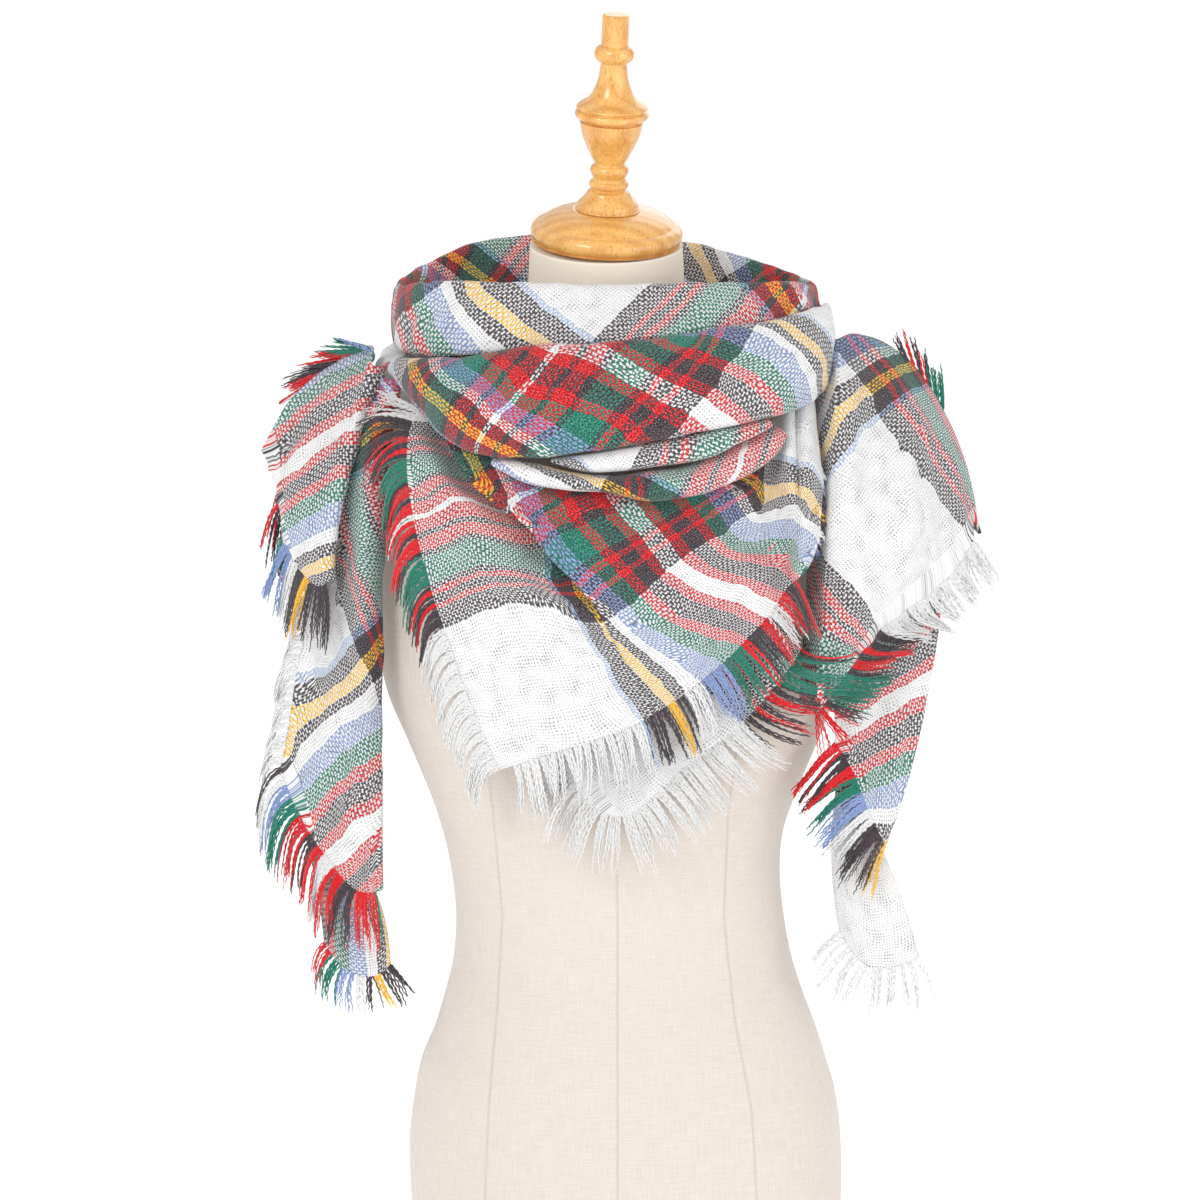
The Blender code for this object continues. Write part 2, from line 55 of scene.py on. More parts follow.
class Value:
    """A socket of a material's nodes. An expression on it adds its Math nodes."""

    def __init__(self, tree, socket=None):
        self.tree, self.socket = tree, socket

    def node(self, kind, inputs=(), out=0, stops=None, **settings):
        """A new node: its settings first, then the values or links of its sockets."""
        made = self.tree.nodes.new("ShaderNode" + kind)
        for name, value in settings.items():
            setattr(made, name, value)
        if stops:
            ramp = made.color_ramp
            ramp.interpolation = stops[0]
            while len(ramp.elements) < len(stops) - 1:
                ramp.elements.new(1.0)
            for element, (place, colour) in zip(ramp.elements, stops[1:]):
                element.position = place
                element.color = colour
        for name, value in dict(inputs).items():
            if isinstance(value, Value):
                self.tree.links.new(value.socket, made.inputs[name])
            else:
                made.inputs[name].default_value = value
        return Value(self.tree, made.outputs[out])

    def maths(self, operation, *values):
        return self.node("Math", dict(enumerate(values)), operation=operation)

    def __add__(self, other):
        return self.maths("ADD", self, other)

    __radd__ = __add__

    def __sub__(self, other):
        return self.maths("SUBTRACT", self, other)

    def __rsub__(self, other):
        return self.maths("SUBTRACT", other, self)

    def __mul__(self, other):
        return self.maths("MULTIPLY", self, other)

    __rmul__ = __mul__

    def __truediv__(self, other):
        return self.maths("DIVIDE", self, other)

    def __abs__(self):
        return self.maths("ABSOLUTE", self)

    def floor(self):
        return self.maths("FLOOR", self)

    def cos(self):
        return self.maths("COSINE", self)

    def most(self, other):
        return self.maths("MAXIMUM", self, other)

    def there_and_back(self, half):
        return self.maths("PINGPONG", self, half)

    def step(self, low, high, start=0.0, end=1.0):
        """A soft step from start to end as the value goes from low to high."""
        ends = {"Value": self, 1: low, 2: high, 3: start, 4: end}
        return self.node("MapRange", ends, interpolation_type="SMOOTHSTEP")

    def mix(self, first, second):
        """The first colour where the value is 0, the second where it is 1."""
        return self.node("Mix", {0: self, 6: first, 7: second}, out=2, data_type="RGBA")

    def darken(self, colour, deepest=(0.16, 0.14, 0.15, 1.0)):
        """The colour, and at 1 the colour multiplied by deepest: painted shade in the depth between
        yarns and in a yarn's twist, and darker loose fibres.
        """
        sockets = {0: self, 6: colour, 7: deepest}
        return self.node("Mix", sockets, out=2, data_type="RGBA", blend_type="MULTIPLY")

    def noise(self, vector, scale, detail=2.0, dimensions="3D"):
        sockets = {"Vector": vector, "Scale": scale, "Detail": detail}
        return self.node("TexNoise", sockets, noise_dimensions=dimensions)

    def parts(self):
        return [self.node("SeparateXYZ", {0: self}, out=k) for k in range(3)]

    def vector(self, x, y, z=0.0):
        return self.node("CombineXYZ", {0: x, 1: y, 2: z})


def linear(red, green, blue):
    """A colour picked as 0 to 255 display values, as a shader takes it."""
    def one(value):
        value /= 255
        return value / 12.92 if value < 0.0405 else ((value + 0.055) / 1.055) ** 2.4
    return (one(red), one(green), one(blue), 1.0)


def material(name, roughness, **constants):
    """A new material, its shader and the value that its nodes are made from."""
    made = bpy.data.materials.new(name)
    made.use_nodes = True
    shader = made.node_tree.nodes["Principled BSDF"]
    shader.inputs["Roughness"].default_value = roughness
    for socket, value in constants.items():
        shader.inputs[socket.replace("_", " ")].default_value = value
    return made, shader, Value(made.node_tree)


def finish_material(made, shader, colour, height, depth, strength=1.0):
    """Links a colour, and a height that is depth millimetres tall, to the shader."""
    tree = made.node_tree
    tree.links.new(colour.socket, shader.inputs["Base Color"])
    sockets = {"Height": height, "Distance": depth * MM, "Strength": strength}
    bump = height.node("Bump", sockets)
    tree.links.new(bump.socket, shader.inputs["Normal"])
    return made


def grid_mesh(name, points, uv=None, closed=False, surface=None):
    """A mesh over a grid of points. A closed one joins its last row to its first. uv holds a
    pair for each point, with one row more where the grid is closed."""
    rows, columns = points.shape[:2]
    across = rows if closed else rows - 1
    i, j = np.meshgrid(np.arange(across), np.arange(columns - 1), indexing="ij")
    corners = np.stack([
        np.stack([i, j], -1), np.stack([i + 1, j], -1),
        np.stack([i + 1, j + 1], -1), np.stack([i, j + 1], -1)], 2).reshape(-1, 2)
    ids = (corners[:, 0] % rows) * columns + corners[:, 1]
    loops_uv = None if uv is None else uv[corners[:, 0], corners[:, 1]]
    return quad_mesh(name, points.reshape(-1, 3), ids, loops_uv, "cloth", surface)


def quad_mesh(name, points, ids, loops_uv, uv_name, surface):
    """A smooth mesh of quads: ids names four points for each one after the other."""
    mesh = bpy.data.meshes.new(name)
    mesh.vertices.add(len(points))
    mesh.vertices.foreach_set("co", (points * MM).astype(np.float32).ravel())
    mesh.loops.add(len(ids))
    mesh.loops.foreach_set("vertex_index", ids.astype(np.int32))
    mesh.polygons.add(len(ids) // 4)
    mesh.polygons.foreach_set("loop_start", np.arange(0, len(ids), 4, dtype=np.int32))
    mesh.polygons.foreach_set("use_smooth", np.ones(len(ids) // 4, bool))
    mesh.update(calc_edges=True)
    if loops_uv is not None:
        layer = mesh.uv_layers.new(name=uv_name)
        layer.data.foreach_set("uv", (loops_uv * MM).astype(np.float32).ravel())
    mesh.materials.append(surface)
    mesh.validate()
    thing = bpy.data.objects.new(name, mesh)
    bpy.context.scene.collection.objects.link(thing)
    return thing


def through(points, places):
    """A smooth line through a few given points, read at places counted from 0 at the first."""
    points = np.asarray(points, float)
    last = len(points) - 1
    slope = np.empty_like(points)
    slope[1:-1] = (points[2:] - points[:-2]) / 2
    slope[0] = 2 * (points[1] - points[0]) - slope[1]
    slope[-1] = 2 * (points[-1] - points[-2]) - slope[-2]
    k = np.minimum(places.astype(int), last - 1)
    f = (places - k).reshape((-1,) + (1,) * (points.ndim - 1))
    return (points[k] * (2 * f**3 - 3 * f**2 + 1) + slope[k] * (f**3 - 2 * f**2 + f)
            + points[k + 1] * (3 * f**2 - 2 * f**3) + slope[k + 1] * (f**3 - f**2))


def evenly(points, count):
    return through(points, np.linspace(0, len(points) - 1, count))


NECK_LEAN = 12.0        # degrees that the neck's top leans forward
FINIAL_LEAN = 2.4       # and the turned finial a little to the side
NECK_TOP = 761.0        # height of the neck's top at its middle
# height, half width, centre x, front y, back y, squareness (2 is an ellipse), lean degrees
FORM = [
    (0, 152, 5, -102, 112, 2.3, 0), (50, 157, 5, -106, 116, 2.3, 0),
    (104, 158, 4, -106, 117, 2.3, 0), (140, 154, 4, -104, 114, 2.3, 0),
    (165, 148, 3, -101, 109, 2.3, 0), (190, 139, 4, -97, 103, 2.3, 0),
    (217, 130, 3, -92, 96, 2.3, 0), (243, 123, 2, -88, 88, 2.2, 0),
    (275, 119, 0, -86, 82, 2.2, 0), (307, 119, -3, -88, 80, 2.2, 0),
    (337, 123, -5, -95, 82, 2.2, 0), (366, 132, -5, -103, 85, 2.2, 0),
    (406, 148, -5, -111, 88, 2.2, 0), (440, 161, -6, -114, 90, 2.2, 0),
    (480, 168, -7, -113, 92, 2.2, 0), (530, 170, -8, -102, 94, 2.2, 0),
    (580, 169, -8, -88, 93, 2.2, 0), (615, 163, -8, -76, 88, 2.2, 0),
    (638, 148, -8, -68, 80, 2.2, 0), (654, 122, -8, -60, 72, 2.1, 0),
    (668, 95, -9, -54, 66, 2.0, 0), (682, 73, -10, -50, 60, 2.0, 0),
    (700, 60, -10, -50, 54, 2.0, 2), (725, 56, -10, -54, 48, 2.0, 6),
    (745, 55, -10, -59, 44, 2.0, 9), (NECK_TOP, 54, -10, -62, 40, 2.0, NECK_LEAN),
]
# height, and where the seams run there: middle, wearer's right, wearer's left
FORM_SEAMS = [
    (0, -2, -97, 100), (76, -2, -97, 98), (147, -2, -94, 94), (218, -2, -88, 81),
    (285, -2, -84, 74), (366, -3, -90, 76), (440, -4, -97, 84), (560, -6, -80, 66),
    (660, -9, -50, 32), (761, -10, -30, 10),
]


def form_grid(rings, sides):
    """The torso's outside, ring by ring, from the table of its rings."""
    rows = evenly(FORM, rings)
    turn = np.linspace(0, 2 * math.pi, sides, endpoint=False)
    c, s = np.cos(turn), np.sin(turn)
    grid = []
    for height, half, centre, front, back, square, lean in rows:
        x = centre + half * np.sign(c) * abs(c) ** (2 / square)
        y = (back - front) / 2 * np.sign(s) * abs(s) ** (2 / square)
        z = height + y * math.tan(math.radians(lean))
        grid.append(np.stack([x, (front + back) / 2 + y, z], -1))
    return np.array(grid)


def linen_material():
    made, shader, start = material("natural_linen", 0.9, Sheen_Weight=0.15)
    place = start.node("TexCoord", out=3)
    x, y, z = place.parts()
    turn = y.maths("ARCTAN2", x, y) * 0.14
    pitch = 0.0015
    slubs_up = start.noise(start.vector(turn * 900, z * 60), 1.0)
    slubs_round = start.noise(start.vector(turn * 50, z * 900, 4.0), 1.0)
    round_it, up_it = turn / pitch, z / pitch
    ribs = (round_it * (2 * math.pi)).cos() + (up_it * (2 * math.pi)).cos()
    seam = None
    top = FORM[-1][0] * MM
    for column in (1, 2, 3):
        stops = [(row[0] * MM / top, (0.5 + row[column] * MM,) * 3 + (1.0,)) for row in FORM_SEAMS]
        line = start.node("ValToRGB", {0: z / top}, stops=["LINEAR", *stops])
        gap = abs(x - (line.node("RGBToBW", {0: line}) - 0.5))
        one = gap.step(0.0004, 0.0013, 1.0, 0.0)
        seam = one if seam is None else seam.most(one)
    weave = ribs * 0.22 + (slubs_up + slubs_round - 1.0) * 1.3
    light, dark = linear(226, 217, 209), linear(203, 192, 182)
    colour = weave.step(-1.1, 1.1).mix(dark, light)
    # Painted light: above about 0.70 m the linen is mixed three quarters of the way to a warm
    # near-white. This lightens the neck where the roll and cap shade it.
    colour = (z.step(0.68, 0.72) * 0.75).mix(colour, linear(255, 243, 224))
    seam = seam * z.step(0.5, 0.68, 1.0, 0.0)
    colour = (seam * 0.26).mix(colour, linear(168, 150, 136))
    return finish_material(made, shader, colour, weave * 0.3 - seam * 1.6, 0.25, 0.6)


torso = form_grid(150, 160)
torso_thing = grid_mesh("dress_form", torso.transpose(1, 0, 2), closed=True, surface=linen_material())


def cap_ends(thing, rings, sides):
    """Closes a ring-shaped mesh at its first and last ring."""
    mesh = thing.data
    loops = [[k * rings for k in range(sides)], [k * rings + rings - 1 for k in range(sides)]]
    work = bmesh.new()
    work.from_mesh(mesh)
    work.verts.ensure_lookup_table()
    for loop in loops:
        work.faces.new([work.verts[k] for k in loop])
    bmesh.ops.recalc_face_normals(work, faces=work.faces)
    work.to_mesh(mesh)
    work.free()
    for polygon in mesh.polygons:
        polygon.use_smooth = len(polygon.vertices) == 4


cap_ends(torso_thing, 150, 160)
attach(torso_thing, "root")
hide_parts("form_torso")


# ---------------------------------------------------------------- wooden cap and finial
# Two turned pieces of pine, stained honey and varnished to a satin gloss: a round cap on the
# neck, and on it a finial with a bell foot, beads, an urn, a collar and a pin.

TURNED_SIDES = 96
CAP_PROFILE = [  # radius, height above the neck
    (0, 0), (49.5, 0), (50.5, 0.2), (53.0, 2.2), (53.9, 5.0), (53.4, 8.6), (51.4, 11.2),
    (49.2, 12.2), (47.4, 12.7), (46.4, 13.8), (44.5, 15.6), (40, 18.2), (34, 20.4),
    (27, 22), (22, 22.6), (0, 22.6),
]
FINIAL_PROFILE = [  # radius, height above the cap
    (0, 0), (21.3, 0), (21.7, 0.6), (21.5, 4), (20.4, 5.6), (17.8, 8.3), (15.6, 11.4),
    (14.6, 13.2), (12.1, 14.6), (12.2, 15.6), (13.6, 16.8), (14, 18.4), (13.4, 20.2),
    (11.8, 21.6), (11.6, 23.2), (13, 26), (13.6, 28.8), (12.6, 31.4), (10.9, 32.8),
    (11.2, 34.4), (12.6, 36.6), (14.2, 40), (16.9, 45.4), (20.1, 53), (22.2, 62.2),
    (22.0, 63.4), (20.9, 64.0), (21.0, 65.0), (24.0, 65.8), (25.7, 67.4), (26.0, 69.4),
    (25.2, 71.0), (23.9, 71.7), (23.9, 72.4), (25.0, 73.2), (25.0, 74.4), (22.4, 76.6),
    (17.8, 79.4), (14.1, 84.4), (10.8, 93), (9.5, 101.6),
    (9.3, 104.6), (9.8, 106.2), (12.2, 107.2), (13.8, 110), (13.9, 113.2), (12.5, 116.2),
    (10, 117.8), (9.6, 119.2), (9.5, 136.8), (9.2, 138.8), (7.8, 139.9), (0, 140),
]


def wood_material():
    made, shader, start = material("honey_pine", 0.34, Coat_Weight=0.6, Coat_Roughness=0.1)
    x, y, z = start.node("TexCoord", out=3).parts()
    warp = start.noise(start.vector(x * 14, y * 14, z * 5), 1.0, 3.0)
    rings = ((y + z * 0.35 + x * 0.12) * 520 + warp * 9.0).cos()
    fibre = start.noise(start.vector(x * 500, y * 1400, z * 160), 1.0, 3.0)
    fleck = start.noise(start.vector(x * 900, y * 900, z * 190), 1.0, 1.0)
    cloud = start.noise(start.vector(x * 60, y * 60, z * 60), 1.0, 2.0)
    tone = rings * 0.12 + fibre * 0.7 + cloud * 0.5
    colour = tone.step(0.25, 0.95).mix(linear(243, 190, 108), linear(214, 148, 68))
    colour = fleck.step(0.58, 0.7, 0.0, 0.5).mix(colour, linear(156, 92, 36))
    return finish_material(made, shader, colour, fibre + rings * 0.1 - fleck * 0.5, 0.1, 0.4)


def turned(name, profile, lift, surface):
    """A turned solid on the neck's leaning axis, lift millimetres above its top."""
    turn = np.linspace(0, 2 * math.pi, TURNED_SIDES, endpoint=False)
    radius, height = evenly(profile, 5 * len(profile)).T
    radius = np.maximum(radius, 0.02)
    ring = np.stack([np.cos(turn), np.sin(turn)], -1)
    points = np.concatenate([
        ring[:, None, :] * radius[None, :, None],
        np.broadcast_to((height + lift)[None, :, None], (TURNED_SIDES, len(height), 1))], -1)
    b, a = math.radians(FINIAL_LEAN), math.radians(NECK_LEAN)
    tilt = np.array([[1, 0, 0], [0, math.cos(a), -math.sin(a)], [0, math.sin(a), math.cos(a)]])
    side = np.array([[math.cos(b), 0, math.sin(b)], [0, 1, 0], [-math.sin(b), 0, math.cos(b)]])
    points = points @ (side @ tilt).T + np.array([-10, -11, NECK_TOP])
    return grid_mesh(name, points, closed=True, surface=surface)


wood = wood_material()
cap_lift = 50.5 * math.sin(math.radians(FINIAL_LEAN)) + 0.3
for name, profile, lift in (("turned_cap", CAP_PROFILE, cap_lift),
                            ("turned_finial", FINIAL_PROFILE, cap_lift + 22.9)):
    thing = turned(name, profile, lift, wood)
    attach(thing, "root")
    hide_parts({"turned_cap": "neck_cap", "turned_finial": "finial"}[name])


# ---------------------------------------------------------------- the camera's place
# The camera stands in front of the form, a little above it, and looks at its middle. The
# tables of stripe crossings below are counted in the square view that it gives.

CAMERA_FAR = 3200.0     # from the camera to the point that it looks at
CAMERA_RISE = 8.0       # degrees that it looks down
CAMERA_AIM = (-14.4, 0.0, 504.0)
FOCAL, SENSOR = 133.33, 36.0
FRAME = 1200            # the view's width, which the places below are counted in


def seen(points):
    """Where the camera sees points, as x and y in the view, and how far away they are."""
    c, s = math.cos(math.radians(CAMERA_RISE)), math.sin(math.radians(CAMERA_RISE))
    x, y, z = (points[..., k] - CAMERA_AIM[k] for k in range(3))
    far = CAMERA_FAR + y * c - z * s
    scale = FRAME * FOCAL / SENSOR / far
    return FRAME / 2 + x * scale, FRAME / 2 - (y * s + z * c) * scale, far


# ---------------------------------------------------------------- upper roll
# The scarf is a square of plain weave in soft brushed acrylic, about 1.4 m a side. Its stripes
# across and along make the tartan, and wide white stripes cross in white squares. The roll
# is the turn nearest the neck, standing up round it.

PITCH = 2.1             # from one thread to the next
YARN = {
    "white": linear(236, 236, 236), "red": linear(228, 18, 30), "charcoal": linear(70, 60, 66),
    "green": linear(24, 132, 110), "blue": linear(142, 164, 212),
    "light blue": linear(174, 196, 228), "yellow": linear(250, 196, 54),
}
# Where each stripe ends, from the middle of one mirrored stripe to that of the next.
WARP = [
    (6, "white"), (15, "red"), (27, "charcoal"), (36, "red"), (49, "green"), (62, "blue"),
    (71, "white"), (79, "charcoal"), (88, "yellow"), (102, "charcoal"), (107, "light blue"),
    (159, "white"),
]
WEFT = [
    (2.25, "white"), (11.25, "red"), (17.25, "charcoal"), (26.25, "red"),
    (30.25, "charcoal"), (49.25, "green"), (54.25, "charcoal"), (59.25, "red"),
    (65.25, "charcoal"), (70.25, "red"), (83.25, "charcoal"), (135.25, "white"),
]
REPEAT = np.array([2 * WARP[-1][0], 2 * WEFT[-1][0]])


def stripe(place, sett):
    """The colour of the yarn at a place, in metres, across the stripes of a sett."""
    half = sett[-1][0]
    starts = [0.0] + [end / half for end, _ in sett[:-1]]
    stops = ["CONSTANT"] + [(s, YARN[c]) for s, (_, c) in zip(starts, sett)]
    return place.node("ValToRGB", {0: place.there_and_back(half * MM) / (half * MM)}, stops=stops)


def cloth_material():
    made, shader, start = material("brushed_tartan", 0.95, Sheen_Weight=0.2, Sheen_Roughness=0.5)
    place = start.node("UVMap", uv_map="cloth")
    stray = start.noise(place, 75.0, 3.0, "2D")
    stray_too = start.noise(start.vector(*place.parts()[:2], 0.0), 88.0, 3.0, "2D")
    u, v, _ = place.parts()
    a = u / (PITCH * MM) + (stray - 0.5) * 1.9
    b = v / (PITCH * MM) + (stray_too - 0.5) * 1.9
    column, row = a.floor(), b.floor()
    # Each thread bulges in its middle and dips under every second thread that it meets.
    aside = (a - column) * 2 - 1
    along = (b - row) * 2 - 1
    swing = 0.2
    warp = 1 - aside * aside + ((b - 0.5 + column) * math.pi).cos() * swing
    weft = 1 - along * along - ((a - 0.5 + row) * math.pi).cos() * swing
    fuzz = start.noise(place, 1300.0, 2.0, "2D")
    grain = start.noise(start.vector(v, u), 1150.0, 2.0, "2D")
    up = warp.most(weft)
    warp_colour = stripe((column + 0.5) * (PITCH * MM), WARP)
    weft_colour = stripe((row + 0.5) * (PITCH * MM), WEFT)
    # Dark yarn is the thicker, and white yarn lies between it in short strokes.
    thicker = weft_colour.node("RGBToBW", {0: weft_colour}) - warp_colour.node(
        "RGBToBW", {0: warp_colour})
    which = (warp - weft + (fuzz - 0.5) * 2.4 + thicker * 0.3).step(-0.16, 0.16)
    colour = (which * 0.92 + 0.04).mix(weft_colour, warp_colour)
    # Loose fibres are darker and lighter than their yarn, and show least on white.
    light = colour.node("RGBToBW", {0: colour})
    fibre = grain.step(0.36, 0.6, 0.8, 0.0) * (1.08 - light)
    colour = fibre.darken(colour, (0.2, 0.18, 0.19, 1.0))
    colour = (grain.step(0.56, 0.7, 0.0, 0.22) * (1.0 - light)).mix(colour, YARN["white"])
    # Painted shade: where the yarns dip apart, in the gaps of the weave, the colour is multiplied down
    # towards a dark grey.
    patch = start.noise(place, 90.0, 3.0, "2D")
    weave_gap_shade = (up + (patch - 0.5) + (fuzz - 0.5)).step(0.0, 0.9, 0.9, 0.0)
    return finish_material(made, shader, weave_gap_shade.darken(colour), up + fuzz * 0.5, 0.4, 0.9)


tartan = cloth_material()
NECK_AXIS = (-10.0, 5.0)
WALL = 1.7              # thickness of the brushed cloth
HOLD = 20.0             # how firmly a known stripe crossing is kept
BEARING_LENGTH = 2.6    # one degree round the neck at a radius of 150


def surface(sections, across, along):
    """A grid of points, across by along, through sections that each hold the same few."""
    lines = np.array([evenly(section, along) for section in sections])
    return evenly(lines, across)


def normals(grid):
    """The unit normal at each point of a grid, turned away from the neck's axis."""
    normal = np.cross(np.gradient(grid, axis=0), np.gradient(grid, axis=1))
    normal /= np.linalg.norm(normal, axis=2, keepdims=True) + 1e-9
    away = grid[..., :2] - np.array(NECK_AXIS)
    return normal * np.sign((normal[..., :2] * away).sum())


def lengths(grid):
    """How far each point of a grid lies along its two directions, in the cloth itself."""
    s = np.linalg.norm(np.diff(grid, axis=0), axis=2).cumsum(axis=0)
    t = np.linalg.norm(np.diff(grid, axis=1), axis=2).cumsum(axis=1)
    s = np.vstack([np.zeros((1, grid.shape[1])), s])
    t = np.hstack([np.zeros((grid.shape[0], 1)), t])
    return np.stack([s, t], -1)


def creased(grid, creases, flat=None, ripple=0.5, seed=1):
    """The grid with its creases pressed in or raised along the normal. Each crease runs from
    one place to another, as x and z or the two numbers of flat, with a half width, a height
    and how much of that width it has on its left-hand side."""
    flat = grid[..., [0, 2]] if flat is None else flat
    lift = np.zeros(grid.shape[:2])
    for x0, z0, x1, z1, width, height, *sharp in creases:
        start = np.array((x0, z0), float)
        line = np.array((x1, z1)) - start
        length = np.linalg.norm(line)
        far = (flat - start) @ line / length**2
        near = np.clip(far, 0, 1)
        off = flat - start - near[..., None] * line
        side = line[0] * off[..., 1] - line[1] * off[..., 0]
        spread = np.where(side > 0, width * (sharp[0] if sharp else 1.0), width)
        lift += height * np.exp(-((np.linalg.norm(off, axis=2) / spread) ** 2)) * np.sin(
            math.pi * (0.12 + 0.76 * near))
    draw = np.random.default_rng(seed)
    places = lengths(grid)
    for wave in np.geomspace(22, 75, 9):
        way = draw.uniform(0, math.pi)
        phase = draw.uniform(0, 2 * math.pi)
        along = places @ np.array((math.cos(way), math.sin(way)))
        bend = np.sin(places @ np.array((-math.sin(way), math.cos(way))) / (wave * 1.7) + phase)
        lift += ripple * (wave / 75) ** 0.8 * 0.8 * np.sin(
            2 * math.pi * along / wave + phase + 1.4 * bend)
    return grid + normals(grid) * lift[..., None]


def pick(grid, px, py, rows=None):
    """The place of a grid that shows at a point of the view: its two indices. rows leaves
    out the rows from there on, which lie over the others."""
    x, y, far = seen(grid[:rows])
    gap = (x - px) ** 2 + (y - py) ** 2
    close = gap <= max(gap.min(), 9.0)
    gap = np.where(close & (far < far[close].min() + 3), gap, np.inf)
    return np.unravel_index(np.argmin(gap), gap.shape)


def lay(grid, keys, most=(999, 999)):
    """The cloth's own coordinates over a grid, from a few places where they are known: seen x
    and y, the places across the warp's and the weft's stripes and, where the cloth lies
    double, the first row of the layer on top. They end at most there."""
    picked = np.array([pick(grid, *key[:2], *key[4:]) for key in keys])
    known = np.array([key[2:4] for key in keys], float)
    places = lengths(grid)
    flat = np.hstack([np.ones((len(picked), 1)), places[picked[:, 0], picked[:, 1]]])
    fit, *_ = np.linalg.lstsq(flat, known, rcond=None)
    return np.minimum(relaxed(grid, fit[0] + places @ fit[1:], picked, known), most)


def relaxed(grid, start, picked, known, rounds=60):
    """Coordinates that keep the cloth's own angles and, but for a little give, its lengths as
    well as they can, and that meet what is known at the picked places."""
    rows, columns = grid.shape[:2]
    some = [np.unique(np.linspace(0, n - 1, min(n, most)).astype(int))
            for n, most in ((rows, 38), (columns, 26))]
    points, guess = grid[np.ix_(*some)], start[np.ix_(*some)]
    wide, tall = len(some[0]), len(some[1])
    ids = np.arange(wide * tall).reshape(wide, tall)
    cells = np.stack([ids[:-1, :-1], ids[1:, :-1], ids[1:, 1:], ids[:-1, 1:]], -1).reshape(-1, 4)
    corners = points.reshape(-1, 3)[cells]
    first = corners[:, 1] + corners[:, 2] - corners[:, 0] - corners[:, 3]
    second = corners[:, 2] + corners[:, 3] - corners[:, 0] - corners[:, 1]
    second = np.cross(np.cross(first, second), first)
    first /= np.linalg.norm(first, axis=1, keepdims=True) + 1e-9
    second /= np.linalg.norm(second, axis=1, keepdims=True) + 1e-9
    edges = np.gradient(guess, axis=0), np.gradient(guess, axis=1)
    hand = np.sign(np.median(edges[0][..., 0] * edges[1][..., 1]
                             - edges[0][..., 1] * edges[1][..., 0]))
    own = np.stack([(corners * first[:, None]).sum(-1),
                    (corners * second[:, None]).sum(-1) * hand], -1)
    one, two = np.array([(0, 1), (1, 2), (2, 3), (3, 0), (0, 2), (1, 3)]).T
    i, j, gap = cells[:, one], cells[:, two], own[:, one] - own[:, two]
    matrix = np.zeros((wide * tall,) * 2)
    for row, column, sign in ((i, i, 1), (j, j, 1), (i, j, -1), (j, i, -1)):
        np.add.at(matrix, (row, column), sign)
    spots = [np.interp(picked[:, k], some[k], np.arange(len(some[k]))) for k in (0, 1)]
    low = [np.minimum(spots[k].astype(int), (wide, tall)[k] - 2) for k in (0, 1)]
    part = [spots[k] - low[k] for k in (0, 1)]
    share = np.zeros((len(picked), wide * tall))
    for up in (0, 1):
        for over in (0, 1):
            weight = abs(1 - up - part[0]) * abs(1 - over - part[1])
            share[np.arange(len(picked)), ids[low[0] + up, low[1] + over]] += weight
    matrix = np.linalg.inv(matrix + HOLD * share.T @ share + 1e-6 * np.eye(wide * tall))
    u = guess.reshape(-1, 2)
    held = HOLD * share.T @ known
    for _ in range(rounds):
        swing = np.einsum("cki,ckj->cij", u[i] - u[j], gap)
        c, s = swing[:, 0, 0] + swing[:, 1, 1], swing[:, 1, 0] - swing[:, 0, 1]
        size = np.hypot(c, s)
        give = (size / (gap ** 2).sum(axis=(1, 2))).clip(0.8, 1.15) / size
        c, s = (c * give)[:, None], (s * give)[:, None]
        turned_gap = np.stack([c * gap[..., 0] - s * gap[..., 1],
                               s * gap[..., 0] + c * gap[..., 1]], -1)
        pull = [np.bincount(i.ravel(), turned_gap[..., k].ravel(), wide * tall)
                - np.bincount(j.ravel(), turned_gap[..., k].ravel(), wide * tall) for k in (0, 1)]
        u = matrix @ (held + np.stack(pull, -1))
    u = u.reshape(wide, tall, 2)
    u = through(u, np.interp(np.arange(rows), some[0], np.arange(wide)))
    return through(u.swapaxes(0, 1), np.interp(
        np.arange(columns), some[1], np.arange(tall))).swapaxes(0, 1)


def selvage_last(grid, first):
    """Coordinates of an end of the cloth, from the first place across the warp's stripes, with
    the last white thread of the weft at its bottom."""
    places = lengths(grid)
    return places - (0, 1) * places[:, -1:] + (first, 186)


def carried(grid, before, after):
    """The cloth's coordinates over a grid that joins two stretches: before and after hold
    those along its first and last row, a whole number of repeats apart."""
    places = lengths(grid)
    s, t = places[..., 0], places[..., 1]
    ends = []
    for edge, row in ((before, 0), (after, -1)):
        slope = np.gradient(edge, t[row], axis=0)
        slope = slope.mean(axis=0) * 0.5 + slope * 0.5
        slope /= np.linalg.norm(slope, axis=1, keepdims=True)
        way = np.stack([-slope[:, 1], slope[:, 0]], -1)
        ends.append(edge[None] + (s - s[row])[..., None] * way[None])
    middle = len(grid) // 2, grid.shape[1] // 2
    shift = np.round((ends[0][middle] - ends[1][middle]) / REPEAT) * REPEAT
    w = np.clip(s / s[-1], 0, 1)
    w = (w * w * (3 - 2 * w))[..., None]
    start = ends[0] * (1 - w) + (ends[1] + shift) * w
    columns = np.arange(0, grid.shape[1], 3)
    picked = np.array([(k, j) for k in (0, len(grid) - 1) for j in columns])
    known = np.concatenate([before[columns], after[columns] + shift])
    made = relaxed(grid, start, picked, known, 400)
    made[0], made[-1] = before, after + shift
    return made


def ring_grid(rows, across, along):
    """The grid of a band whose rows hold a bearing and then pairs of radius and height."""
    rows = np.array(rows, float)
    turn = np.radians(rows[:, :1])
    radius, height = rows[:, 1::2], rows[:, 2::2]
    sections = np.stack([NECK_AXIS[0] + radius * np.sin(turn),
                         NECK_AXIS[1] - radius * np.cos(turn), height], -1)
    return surface(sections, across, along)


